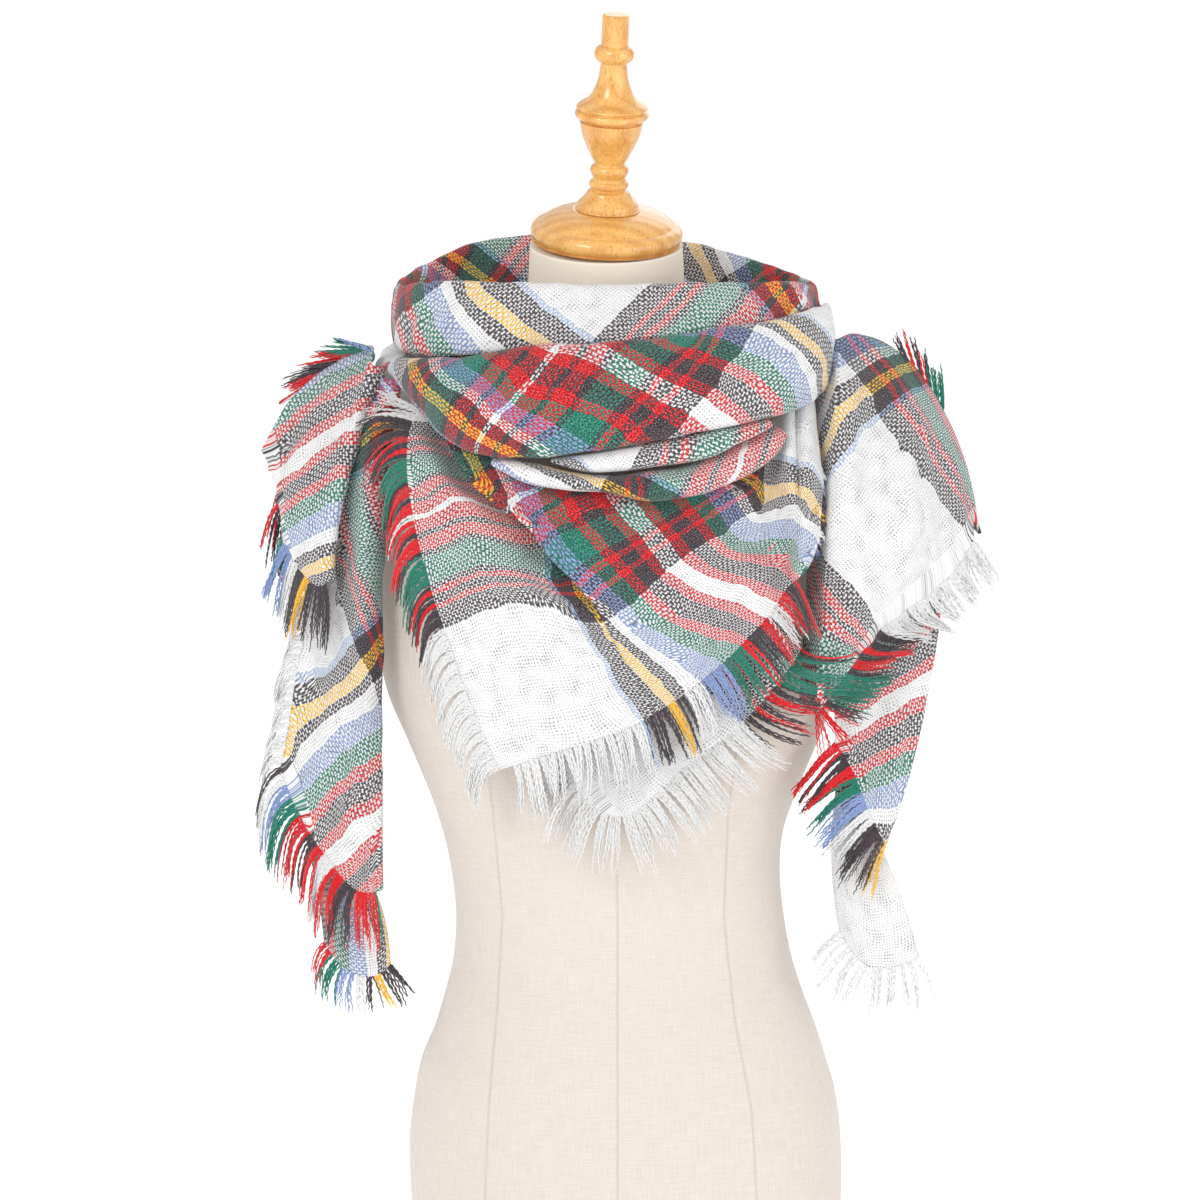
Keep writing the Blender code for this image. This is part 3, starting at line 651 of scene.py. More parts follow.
def bearings(grid):
    """A band's grid laid flat: millimetres round from the front at a radius of 150, height."""
    x, y = grid[..., 0] - NECK_AXIS[0], grid[..., 1] - NECK_AXIS[1]
    turn = np.degrees(np.arctan2(x, -y))
    turn = np.where(turn < -100, turn + 360, turn)
    return np.stack([turn * BEARING_LENGTH, grid[..., 2]], -1)


def cloth(name, grid, uv, nodes, closed=False):
    """A stretch of the scarf as a shell of even thickness, in place of its CAD nodes."""
    thing = grid_mesh(name, grid, uv, closed=closed, surface=tartan)
    shell = thing.modifiers.new("thickness", "SOLIDIFY")
    shell.thickness = WALL * MM
    shell.offset = 0.0
    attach(thing, "root")
    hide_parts(*nodes)
    return thing


def ring_cloth(front_rows, back_rows, across, along, creases, keys, seed):
    """One turn round the neck, closed, from the tables of its front and back."""
    front_count = int(across * 0.48)
    front = ring_grid(front_rows, front_count, along)
    back = ring_grid(back_rows, across - front_count + 2, along)
    whole = np.concatenate([front, back[1:-1]])
    padded = np.concatenate([whole[-8:], whole, whole[:8]])
    pressed = creased(padded, creases, bearings(padded), seed=seed)[8:-8]
    fade = np.clip(np.minimum(np.arange(len(whole)), np.arange(len(whole))[::-1]) / 8, 0, 1)
    whole = whole + (pressed - whole) * fade[:, None, None]
    front, back = whole[:front_count], np.concatenate(
        [whole[front_count - 1:], whole[:1]])
    front_uv = lay(front, keys)
    back_uv = carried(back, front_uv[-1], front_uv[0])
    uv = np.concatenate([front_uv, back_uv[1:]])
    return whole, uv


# bearing, inner edge r z, crest r z, face r z, lower edge r z
ROLL_FRONT = [
    (-77, 132, 690, 144, 731, 152, 712, 151, 688),
    (-60, 122, 694, 138, 737, 149, 716, 147, 686),
    (-40, 106, 698, 122, 738, 139, 717, 145, 690),
    (-20, 88, 700, 104, 737, 123, 719, 134, 696),
    (0, 80, 700, 95, 736, 114, 720, 129, 699),
    (20, 88, 700, 102, 737, 120, 722, 134, 703),
    (40, 108, 700, 124, 737, 138, 724, 145, 708),
    (60, 124, 698, 141, 736, 149, 725, 152, 712),
    (84, 132, 692, 146, 729, 150, 720, 151, 709),
]
ROLL_BACK = [
    (84.3, 132, 692, 146, 729, 150, 720, 151, 709),
    (100, 126, 692, 140, 733, 145, 722, 146, 708),
    (123, 106, 696, 119, 744, 131, 728, 136, 707),
    (149, 92, 702, 107, 754, 121, 736, 127, 706),
    (180, 86, 704, 104, 759, 117, 740, 122, 706),
    (212, 92, 702, 108, 759, 122, 738, 128, 706),
    (231, 106, 698, 122, 753, 135, 734, 139, 704),
    (247, 120, 692, 136, 742, 145, 725, 147, 702),
    (264, 130, 690, 147, 732, 152, 714, 152, 696),
    (282.7, 132, 690, 144, 731, 152, 712, 151, 688),
]
# from round, from height, to round, to height, half width, height, share on the left
ROLL_CREASES = [
    (-190, 700, -120, 728, 7, -3), (-165, 690, -150, 726, 5, 2.5), (60, 705, 150, 722, 8, -2.5),
    (150, 735, 190, 712, 6, 3), (20, 700, 90, 712, 7, 2), (250, 712, 330, 730, 10, -4),
    (380, 740, 430, 715, 9, 3.5), (470, 715, 520, 748, 9, -4), (560, 745, 620, 715, 8, 4),
    (640, 712, 700, 730, 8, -3),
]
# seen x, seen y, place across the warp's stripes, place across the weft's
ROLL_KEYS = [
    (470, 297, 83.5, 168), (500, 315, 83.5, 144), (543, 345, 83.5, 107), (560, 315, 107, 113),
    (590, 337, 107, 87), (616, 318, 127, 83.25), (650, 287, 156, 83.25), (655, 310, 150, 67),
    (680, 310, 160, 56), (710, 305, 175, 42), (690, 333, 155, 42), (740, 290, 211, 32),
    (780, 297, 234.5, 12), (797, 314, 236, 0), (455, 330, 55.5, 159), (440, 343, 42.5, 160),
    (425, 350, 31, 164), (412, 352, 21, 172), (750, 322, 198, 20), (400, 310, 18, 186),
]
roll, roll_uv = ring_cloth(ROLL_FRONT, ROLL_BACK, 250, 26, ROLL_CREASES, ROLL_KEYS, 3)
roll_thing = cloth("neck_roll", roll, roll_uv, ("roll_front", "roll_back"), closed=True)


# ---------------------------------------------------------------- wrap
# The turn over the roll goes right round the shoulders. Its stripes cross in front, where
# its lower edge is tucked under, and it is smoothed flat by the pull of both ends.

# bearing, hidden top r z, shoulder r z, belly r z, lower fold r z, tucked edge r z
WRAP_FRONT = [
    (-76, 146, 682, 153, 680, 160, 674, 156, 667, 149, 664),
    (-66, 153, 683, 159, 680, 161, 673, 157, 665, 150, 663),
    (-52, 151, 685, 163, 680, 168, 666, 162, 648, 150, 646),
    (-36, 148, 690, 162, 683, 174, 660, 169, 632, 156, 628),
    (-20, 138, 697, 153, 691, 166, 663, 165, 629, 152, 625),
    (0, 133, 700, 147, 694, 161, 669, 161, 636, 148, 632),
    (18, 137, 704, 152, 698, 165, 675, 164, 644, 151, 640),
    (34, 146, 709, 160, 703, 171, 681, 170, 651, 157, 647),
    (50, 154, 713, 168, 707, 177, 686, 174, 657, 161, 653),
    (66, 158, 717, 168, 712, 172, 693, 169, 665, 157, 661),
    (80, 157, 718, 162, 712, 162, 696, 160, 674, 150, 668),
    (90, 156, 716, 160, 710, 160, 696, 158, 676, 148, 669),
]
WRAP_BACK = [
    (90.3, 156, 716, 160, 710, 160, 696, 158, 676, 148, 669),
    (108, 149, 713, 157, 707, 161, 692, 159, 669, 148, 662),
    (135, 138, 712, 148, 706, 155, 688, 154, 662, 144, 656),
    (160, 130, 712, 140, 706, 149, 688, 150, 660, 139, 654),
    (180, 127, 712, 136, 706, 146, 688, 148, 659, 137, 653),
    (200, 130, 712, 140, 706, 149, 688, 150, 660, 139, 654),
    (225, 141, 710, 151, 704, 158, 686, 157, 660, 147, 655),
    (250, 140, 694, 152, 688, 164, 676, 162, 658, 152, 653),
    (270, 136, 687, 149, 684, 163, 675, 161, 664, 153, 660),
    (283.6, 146, 682, 153, 680, 160, 674, 156, 667, 149, 664),
]
WRAP_CREASES = [
    (-150, 682, -70, 640, 8, 3), (-120, 690, -40, 655, 6, -2.5), (-20, 668, 60, 640, 9, 2),
    (60, 690, 150, 668, 8, -2.5), (100, 660, 170, 690, 7, 2.5), (270, 700, 380, 668, 9, -4),
    (360, 705, 440, 672, 8, 3.5), (470, 670, 560, 700, 9, -4), (600, 700, 690, 676, 8, 3),
]
WRAP_KEYS = [
    (556, 349, 0, 0), (522, 390, 32, 0), (497, 418, 66, 0), (481, 438, 83.5, 0),
    (632, 376, 0, 40), (680, 396, 0, 72), (698, 404, 0, 83.25),
    (440, 372, 66, -52), (480, 402, 66, -16), (412, 367, 83.5, -72), (440, 402, 83.5, -39),
    (505, 449, 83.5, 20), (468, 366, 46, -40), (583, 424, 42.5, 40), (624, 420, 31, 57),
    (682, 342, -42.5, 40), (715, 383, -16, 83.25), (742, 350, -48, 83.25),
    (785, 357, -55, 108), (800, 339, -83.5, 112), (822, 357, -83.5, 130),
    (770, 394, -31, 119), (745, 380, -28, 105), (533, 441, 66, 34),
]
wrap, wrap_uv = ring_cloth(WRAP_FRONT, WRAP_BACK, 280, 32, WRAP_CREASES, WRAP_KEYS, 5)
wrap_thing = cloth("wrap", wrap, wrap_uv, ("wrap_front", "wrap_back"), closed=True)


# ---------------------------------------------------------------- lower rolls
# Two slack folds of the same turn that sag below the wrap in front, one inside the other.
# They are the same cloth, held only by the wrap above them.

# bearing, hidden top r z, belly r z, lower fold r z, tucked edge r z
ROLL_LOW_INNER = [
    (-14, 150, 622, 156, 621.5, 157, 620, 151, 619),
    (-4, 149, 625.5, 158, 622.5, 159, 616.5, 150, 614),
    (10, 150, 632, 161, 627, 161, 619, 151, 616),
    (24, 153, 639, 165, 633, 165, 624, 154, 621),
    (34, 156, 643.4, 168, 639.6, 169, 634, 158, 631),
    (42, 158, 646.8, 168, 645.6, 170, 642, 160, 639.6),
]
ROLL_LOW_OUTER = [
    (-30, 150, 622, 157, 620, 158, 616, 151, 614),
    (-20, 148, 618, 160, 615, 161, 608, 151, 605),
    (-10, 147, 612, 160, 609, 161, 604, 151, 601),
    (0, 147, 610, 160, 608, 162, 602, 151, 599),
    (10, 148, 612, 162, 607, 163, 597, 152, 594),
    (20, 150, 615, 165, 609, 165, 599, 153, 596),
    (30, 154, 624, 168, 617, 168, 606, 156, 603),
    (40, 158, 634, 171, 628, 170, 617, 159, 614),
    (46, 160, 640, 171, 638, 171, 631, 161, 627),
]
LOW_INNER_KEYS = [
    (560, 452, 105, 135), (600, 462, 120, 105), (640, 450, 145, 83.25), (665, 447, 150, 68),
    (687, 437, 155, 57), (720, 430, 165, 40), (570, 466, 88, 118),
]
LOW_OUTER_KEYS = [
    (540, 458, 83.5, 140), (575, 470, 83.5, 112), (615, 490, 83.5, 80), (640, 480, 100, 52),
    (675, 472, 122, 40), (710, 465, 140, 22), (745, 447, 165, 0), (765, 428, 185, -10),
    (505, 462, 66, 150), (488, 460, 55, 160),
]
for name, rows, keys, node in (
        ("low_roll_inner", ROLL_LOW_INNER, LOW_INNER_KEYS, "roll_low_inner"),
        ("low_roll_outer", ROLL_LOW_OUTER, LOW_OUTER_KEYS, "roll_low_outer")):
    grid = creased(ring_grid(rows, 90, 20), [], seed=8, ripple=0.35)
    cloth(name, grid, lay(grid, keys), (node,))


# ---------------------------------------------------------------- front flap
# The corner of the folded square hangs as a triangle over the chest. Its two edges are the
# cloth's own, unpicked into a fringe past a last white thread.

def hanging_grid(rows, across, along, tops=None):
    """The grid of a hanging stretch, row by row from one side to the other. Where its top is
    tucked behind another stretch, tops gives those points and the rows leave them out."""
    sections = [np.reshape(row, (-1, 3)) for row in rows]
    if tops is not None:
        sections = [np.vstack((top, section)) for top, section in zip(tops, sections)]
    return surface(sections, across, along)


def behind(grid, *places):
    """Points behind a stretch: shares of its two directions, and how far behind."""
    inward = -normals(grid)
    found = []
    for i, j, past in places:
        at = round(i * (grid.shape[0] - 1)), round(j * (grid.shape[1] - 1))
        found.append(grid[at] + inward[at] * past)
    return found


def hemmed(grid, end, radius, reach):
    """The grid with one side (0 or -1) turned under: round a bend, then flat behind."""
    inward = -normals(grid)[end]
    rows = grid if end else grid[::-1]
    out = rows[-1] - rows[-4]
    out /= np.linalg.norm(out, axis=1, keepdims=True)
    added = []
    for turn in np.radians((22, 48, 75, 102, 130, 155)):
        added.append(rows[-1] + out * radius * math.sin(turn)
                     + inward * radius * (1 - math.cos(turn)))
    way = out * math.cos(turn) + inward * math.sin(turn)
    for share in (0.2, 0.4, 0.6, 0.8, 1.0):
        added.append(added[5] + way * reach * share)
    rows = np.concatenate([rows, added])
    return rows if end else rows[::-1]


def yarn_material(name, sett):
    """Loose yarn: the colour of the thread that it was before the edge was unpicked."""
    made, shader, start = material(name, 0.9, Sheen_Weight=0.3, Sheen_Roughness=0.5)
    place = start.node("UVMap", uv_map="yarn")
    thread, along, _ = place.parts()
    colour = stripe(((thread / (PITCH * MM)).floor() + 0.5) * (PITCH * MM), sett)
    twist = ((along + thread * 3.0) * (2 * math.pi / 0.0026)).cos()
    fuzz = start.noise(place, 700.0, 2.0, "2D")
    shade = (twist * 0.25 + fuzz).step(0.1, 0.8, 0.1, 0.0)
    return finish_material(made, shader, shade.darken(colour), twist * 0.5 + fuzz, 0.25, 0.5)


warp_yarn = yarn_material("loose_warp_yarn", WARP)
weft_yarn = yarn_material("loose_weft_yarn", WEFT)
STRAND_STEPS, STRAND_SIDES = 30, 3


def fringe(name, edge, inside, uv, reach, sweep, node, seed, over=1.5, hold=1.0, cling=0.62):
    """The yarns that leave a woven edge, as one mesh of thin tubes, over of them for each
    thread. Each keeps the waves that the weave pressed into it. Neighbours cling together
    towards the tip as far as cling says. hold times their own way out of the cloth, and a
    sweep read along the edge, make their direction."""
    draw = np.random.default_rng(seed)
    course = np.gradient(edge, axis=0)
    course /= np.linalg.norm(course, axis=1, keepdims=True)
    out = edge - inside
    out -= (out * course).sum(axis=1, keepdims=True) * course
    out /= np.linalg.norm(out, axis=1, keepdims=True)
    face = np.cross(out, course)
    away = edge[:, :2] - np.array(NECK_AXIS)
    face *= np.sign((face[:, :2] * away).sum())
    run = np.concatenate([[0], np.linalg.norm(np.diff(edge, axis=0), axis=1).cumsum()])
    count = max(int(run[-1] / PITCH * over), 4)
    at = (np.arange(count) + 0.5 + draw.uniform(-0.4, 0.4, count)) / count * run[-1]

    def read(values):
        return np.stack([np.interp(at, run, values[:, k]) for k in range(values.shape[1])], -1)

    root, way, side, front = read(edge), read(out), read(course), read(face)
    slope = np.abs(uv[-1] - uv[0])
    across = 0 if slope[0] > slope[1] else 1
    thread = np.interp(at, run, uv[:, across])
    size = draw.uniform(4.5, 9.0, 400).cumsum()
    lock = np.searchsorted(size, at)
    mine = draw.normal(size=(lock.max() + 1, 5)).clip(-1.8, 1.8)[lock]
    middle = np.array([at[lock == k].mean() for k in lock])
    length = reach * (0.92 + 0.08 * mine[:, 0] + 0.08 * draw.normal(size=count))
    length = length.clip(reach * 0.5, reach * 1.1)
    own = draw.normal(size=(count, 4)).clip(-2, 2)
    stray = np.where(draw.random(count) < 0.12, 2.2, 1.0)
    phase = draw.uniform(0, 2 * math.pi, (count, 4))
    sweeps = np.array(sweep, float).reshape(-1, 3)
    spread = np.linspace(0, run[-1], len(sweeps))
    droop = np.stack([np.interp(at, spread, sweeps[:, k]) for k in range(3)], -1)
    wave = 5.2 + 0.5 * own[:, 3]
    share = np.linspace(0, 1, STRAND_STEPS + 1)[:, None]
    go = share * length
    bend = hold * way[None] + droop[None] * (share - 0.08).clip(0)[..., None]
    bend /= np.linalg.norm(bend, axis=2, keepdims=True)
    close, loose = 1 - np.exp(-3.0 * share), share ** 1.5
    crimp = 0.34 * (share * 12).clip(0, 1)
    sideways = ((middle - at) * cling * close / stray + mine[:, 1] * 3.0 * loose
                + own[:, 0] * 0.9 * loose * stray + 0.9 * share * np.sin(go / 6.5 + phase[:, 2])
                + crimp * np.sin(2 * math.pi * go / wave + phase[:, 0]))
    forward = (mine[:, 2] * 1.6 * loose + own[:, 1] * 0.7 * loose * stray
               + crimp * np.sin(2 * math.pi * go / wave + phase[:, 1]))
    line = (root + bend * (go - 1.5)[..., None] + side * sideways[..., None]
            + front * forward[..., None]).swapaxes(0, 1)
    ahead = np.gradient(line, axis=1)
    ahead /= np.linalg.norm(ahead, axis=2, keepdims=True)
    first = np.cross(ahead, front[:, None, :])
    first /= np.linalg.norm(first, axis=2, keepdims=True) + 1e-9
    second = np.cross(ahead, first)
    radius = 0.74 * (1 - 0.5 * share ** 3).T * (1 + 0.15 * own[:, 2])[:, None]
    turn = np.arange(STRAND_SIDES) * 2 * math.pi / STRAND_SIDES
    ring = (first[:, :, None] * np.cos(turn)[:, None] + second[:, :, None] * np.sin(turn)[:, None])
    points = line[:, :, None] + ring * radius[..., None, None]
    steps, sides = STRAND_STEPS + 1, STRAND_SIDES
    n, k, m = np.meshgrid(np.arange(count), np.arange(steps - 1), np.arange(sides), indexing="ij")
    base, after = (n * steps + k) * sides, (m + 1) % sides
    quads = np.stack([base + m, base + sides + m, base + sides + after, base + after], -1)
    ids = quads.reshape(-1)
    strand, step = ids // (steps * sides), ids // sides % steps
    where = np.stack([thread[strand], step / STRAND_STEPS * length[strand] + own[strand, 3] * 9], -1)
    made = quad_mesh(name, points.reshape(-1, 3), ids, where, "yarn",
                     warp_yarn if across == 0 else weft_yarn)
    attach(made, "root")
    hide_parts(node)
    return made


# top x y z, middle x y z, bottom x y z, from the fringed left edge to the free right edge
FLAP_FRONT = [
    (-140, -76, 652, -142, -118, 572, -85, -132, 403),
    (-106, -100, 636, -98, -134, 548, -42, -138, 418),
    (-60, -124, 614, -50, -144, 540, -7, -140, 430),
    (-10, -132, 606, 0, -148, 540, 34, -141, 451),
    (45, -126, 610, 50, -146, 550, 72, -140, 482),
    (82, -104, 622, 90, -132, 570, 98, -136, 508),
    (104, -92, 641, 106, -114, 594, 113, -130, 528),
    (122, -88, 652.8, 124, -124, 604, 126, -134, 542),
    (133, -68, 657, 139, -112, 600, 132, -122, 552),
]
# seen x, seen y, how much lies hidden on each side: the line of the fold over the other side
FLAP_PLEAT = [
    (450, 447, 38), (463, 468, 38), (477, 486, 37), (492, 501, 36), (510, 510, 36), (530, 524, 33),
    (544, 541, 29), (553, 555, 24), (564, 567, 19), (575, 578, 13), (588, 593, 7), (598, 608, 3),
    (603, 622, 1.2), (622, 655, 0.8), (650, 700, 0.6),
]
FLAP_CREASES = [
    (-30, 508, -10, 500, 9, -6, 0.6), (115, 650, 114.5, 592, 5, 2), (121.8, 656, 121.4, 588, 2.8, -8),
    (129, 650, 127, 590, 7, 2),
    (-120, 610, -126, 560, 9, 3.5), (-112, 560, -60, 520, 14, 4),
    (-30, 590, 26, 520, 20, 5), (-40, 480, 10, 450, 14, 3), (20, 560, 70, 500, 14, 4),
    (40, 540, 90, 500, 9, -4), (62, 590, 108, 548, 9, -5), (70, 560, 115, 520, 9, 3.5),
    (0, 500, 40, 466, 9, -3), (-70, 500, -58, 420, 12, -3), (-20, 470, 0, 430, 9, 3),
]
# as ROLL_KEYS, with the first row on top where the pleat lies over the crossing
FLAP_KEYS = [
    (420, 517, 205, 0), (419, 487, 205, -30), (417, 458, 205, -49), (426, 553, 205, 30),
    (431, 584, 205, 49), (437, 629, 205, 83.25), (463, 712, 205, 145), (498, 771, 205, 187),
    (453, 497, 177, 0), (488, 506, 146, 0), (435, 466, 188, -40), (470, 546, 163, 40),
    (497, 555, 146, 40, 52), (506, 513, 139, 0, 52), (514, 525, 133, 14, 52),
    (520, 546, 127, 28, 52), (543, 563, 107, 41, 52), (543, 582, 107, 52, 52),
    (560, 589, 95, 57, 52), (578, 590, 83.5, 65, 52), (588, 607, 83.5, 78, 52),
    (495, 540, 148, 30, 52), (532, 590, 130, 72, 52),
    (480, 612, 172, 83.25), (510, 600, 150, 83.25),
    (539, 594, 130, 83.25), (562, 605, 116, 83.25), (578, 620, 107, 83.25),
    (600, 655, 107, 118), (638, 720, 107, 187), (608, 630, 83.5, 88), (645, 672, 83.5, 140),
    (674, 706, 83.5, 187), (640, 628, 55.5, 92), (690, 658, 55.5, 137), (716, 672, 55.5, 187),
    (650, 618, 42.5, 98), (705, 645, 42.5, 145), (737, 650, 42.5, 187), (745, 643, 31, 187),
    (679, 614, 26, 105), (765, 622, 10, 187), (668, 566, 0, 83.25), (700, 583, 0, 110),
    (740, 591, 0, 145), (775, 612, 0, 187), (632, 518, 0, 40), (576, 546, 42.5, 40), (605, 530, 21, 38),
    (691, 490, -42.5, 40), (599, 497, 10.5, 21.5), (571, 507, 31.5, 21.5),
    (534, 513, 55.5, 14), (542, 524, 55.5, 21), (558, 552, 55.5, 40),
    (514, 504, 66.5, 0), (484, 480, 83.5, -22), (475, 461, 83.5, -40), (497, 483, 74, -13),
    (600, 621, 88, 83.25), (724, 534, -42.5, 83.25),
    (715, 562, -21, 103), (737, 492, -66, 60), (755, 480, -83.5, 60), (762, 502, -83.5, 76),
    (735, 548, -42.5, 100), (783, 597, -10, 187), (797, 579, -31, 187), (802, 556, -55, 187),
    (811, 508, -83.5, 187), (795, 509, -66, 150), (795, 488, -83.5, 145),
    (796, 468, -102, 142), (797, 430, -140, 140), (793, 543, -42.5, 150),
    (788, 558, -31, 150),
]


def pleated(base, line, counts, lift):
    """A base grid with a knife pleat down it. The cloth from the left runs on under the right
    side, turns back and turns again at the pleat's line. counts are its rows in each part."""
    places = np.array([pick(base, px, py) for px, py, _ in line])
    rows = np.arange(base.shape[1])
    fold = np.interp(rows, places[:, 1], places[:, 0]) / (len(base) - 1)
    fold = np.convolve(np.pad(fold, 3, "edge"), np.ones(7) / 7, "valid")
    hidden = np.interp(rows, places[:, 1], [width for *_, width in line])
    wide = np.linalg.norm(np.diff(base, axis=0), axis=2).sum(axis=0)
    left, back, right = (np.linspace(0, 1, n)[:, None] for n in counts)
    under = fold + hidden / wide
    share = np.concatenate([left * under, under + back[1:-1] * (fold - under),
                            fold + right * (1 - fold)])
    high = lift * np.clip(hidden / 30, 0, 1)
    far = np.clip((share - fold) * wide / 60, 0, 1)
    part = np.concatenate([np.full(counts[0], -2.3), np.linspace(-2.3, 1, counts[1])[1:-1],
                           np.ones(counts[2])])[:, None]
    near = np.exp(-(np.minimum(share - fold, 0) * wide / 19) ** 2)
    rise = high * part * np.where(part < 1, near, (1 - far) ** 2)
    at = share * (len(base) - 1)
    grid = np.stack([through(base[:, j], at[:, j]) for j in range(base.shape[1])], 1)
    smooth = normals(base)
    lean = np.stack([through(smooth[:, j], at[:, j]) for j in range(base.shape[1])], 1)
    return grid + lean * rise[..., None]


flap_base = creased(hanging_grid(FLAP_FRONT, 140, 110), FLAP_CREASES, ripple=0.5, seed=11)
flap = hemmed(pleated(flap_base, FLAP_PLEAT, (52, 14, 110), 9.5), -1, 4.0, 10.0)
flap_uv = lay(flap, FLAP_KEYS, (209, 186))
flap_thing = cloth("front_flap", flap, flap_uv, ("flap_front",))
side_uv = flap_uv[0, 1:].copy()
side_uv[:9, 1] = -110
flap_fringes = [
    fringe("flap_fringe_side", flap[0, 1:], flap[5, 1:], side_uv, 38,
           ((0.2, 0, -0.1), *[(0.2, 0.1, -1.2)] * 5), "fringe_flap_left", 21, 2.9, cling=0.45),
    fringe("flap_fringe_point", flap[4:144, -1], flap[4:144, -6], flap_uv[4:144, -1], 41,
           ((0, 0, -1), (0, 0, -1), (0.1, 0, -0.8), (0.2, 0, -0.5), (0.1, 0, -0.6)),
           "fringe_flap_bottom", 22, 2.0, cling=0.4),
    fringe("flap_fringe_fold", flap[174, 40:], flap[168, 40:], flap_uv[174, 40:], 16,
           (0, 0, -0.6), "fringe_flap_right", 23),
]


# ---------------------------------------------------------------- under layer of the flap
# The second layer of the folded square, set down and to the side of the first. It is the
# same cloth, and its own unpicked edge hangs below the flap's.

# middle x y z, bottom x y z
FLAP_UNDER = [
    (-52, -119, 462, -40, -119, 405),
    (-12, -115.8, 444, -1, -119, 368),
    (38, -119, 468, 44, -119, 403),
    (84, -116, 492, 88, -119, 438),
    (120, -110, 520, 126, -116, 486),
]
UNDER_KEYS = [
    (619, 821, 205, 187), (680, 772, 205, 135), (745, 722, 205, 83.25), (796, 665, 205, 40),
    (565, 750, 140, 187), (640, 700, 130, 120), (735, 655, 150, 50),
]
under_top = behind(flap, (0.2, 0.67, 8), (0.4, 0.67, 11), (0.6, 0.67, 10), (0.75, 0.67, 10),
                   (0.9, 0.67, 8))
under = creased(hanging_grid(FLAP_UNDER, 70, 50, under_top), [], ripple=0.5, seed=12)
under_uv = lay(under, UNDER_KEYS, (209, 186))
under_thing = cloth("under_flap", under, under_uv, ("flap_under",))
under_fringe = fringe("under_flap_fringe", under[:, -1], under[:, -8], under_uv[:, -1], 44,
                      ((0, 0.1, -0.6), (0.1, 0.1, -0.6), (0.4, 0.1, -0.2), (0.9, 0.1, 0.5)),
                      "fringe_under", 24, 2.2, cling=0.5)


# ---------------------------------------------------------------- right end
# One end of the scarf comes over the shoulder, hangs with a slanting fringed edge, and a
# second and third fold of it hang below.

# x y z of points from the top of each section to its lower edge, in every table here
BACK_DRAPE = [
    (-176, -16, 688, -214, 1, 668, -254, -24, 614),
    (-184, 20, 668, -206, 40, 634, -222, 44, 586),
    (-154, 57, 653, -168, 84, 620, -178, 92, 572),
    (-114, 109, 651, -122, 116, 614, -130, 118, 562),
    (-57, 136, 650, -62, 132, 608, -68, 124, 556),
    (-10, 142, 649, -10, 132, 606, -10, 122, 552),
    (38, 136, 650, 44, 130, 608, 50, 122, 556),
    (92, 107, 652, 104, 112, 614, 114, 112, 562),
    (131, 51, 650, 156, 76, 620, 172, 84, 572),
    (168, 12, 666, 198, 30, 640, 214, 44, 584),
    (170, -18, 696, 222, -2, 656, 255, -32, 556),
]
DRAPE_RIGHT = [
    (147, -110, 590, 138, -114, 442),
    (168, -112, 582, 157, -106, 467),
    (190, -100, 580, 175, -95, 491),
    (212, -82, 588, 200, -80, 508),
    (230, -60, 590, 224, -64, 523),
    (243, -44, 580, 240, -50, 540),
    (250, -32, 566, 251, -38, 553),
]
DRAPE_CREASES = [
    (160, 672, 152, 560, 9, 4), (176, 668, 170, 520, 10, -3), (200, 664, 198, 540, 9, 3.5),
    (222, 640, 226, 560, 8, -3), (150, 520, 180, 480, 9, 3), (170, 640, 200, 600, 12, 2.5),
]
DRAPE_KEYS = [
    (833, 440, 83.5, 125), (855, 402, 83.5, 100), (870, 390, 83.5, 83.25), (893, 377, 83.5, 60),
    (833, 475, 107, 134), (860, 433, 107, 103), (880, 420, 107, 83.25), (900, 450, 132, 83.25),
    (920, 478, 155, 83.25), (940, 502, 178, 83.25), (962, 522, 207, 83.25),
    (925, 435, 140, 67.5), (905, 413, 118, 67.5), (872, 618, 207, 187), (830, 562, 150, 187),
    (850, 585, 176, 187), (825, 593, 165, 203), (858, 625, 200, 203), (825, 618, 178, 213),
    (830, 660, 190, 231), (845, 655, 200, 227), (822, 700, 205, 250), (920, 575, 207, 135),
]
back_drape = creased(hanging_grid(BACK_DRAPE, 220, 44), [
    (-230, 660, -215, 600, 9, 3), (-170, 650, -150, 580, 10, -4), (-110, 640, -90, 570, 9, 4),
    (-40, 645, -30, 565, 10, -4), (30, 640, 45, 570, 9, 4), (90, 645, 120, 570, 9, -4),
    (160, 650, 190, 590, 9, 4), (-200, 640, -180, 600, 6, -3), (0, 620, 4, 560, 7, 3),
], ripple=0.6, seed=14)
drape_top = [(154, -44, 696), *(back_drape[-1, [0, 9, 17, 26, 34, 43]] + (0.5, -1.6, 0.3))]
drape = creased(hanging_grid(DRAPE_RIGHT, 84, 84, drape_top), DRAPE_CREASES, ripple=0.5, seed=15)
drape = hemmed(drape, 0, 5.0, 6.0)
behind_flap = drape[10] + np.array([-0.5, 1.1, 0]) * np.linspace(22, 2, 8)[:, None, None]
drape = np.concatenate([behind_flap, drape[10:]])
drape_uv = lay(drape, DRAPE_KEYS, (209, 999))
drape_thing = cloth("right_drape", drape, drape_uv, ("drape_right",))
drape_fringe = fringe("right_drape_fringe", drape[7:, -1], drape[7:, -16],
                      np.linspace((0, 252), (3, 88), len(drape) - 7), 34,
                      ((0, -0.3, -0.6), (1.5, -0.3, 0.3), (1.5, -0.3, 0.3), (1.2, -0.3, 0.2),
                       (0.6, -0.3, 0), (0.3, -0.3, -0.3), (0.2, -0.3, -0.4)),
                      "fringe_drape_right", 25, 2.8, cling=0.35)

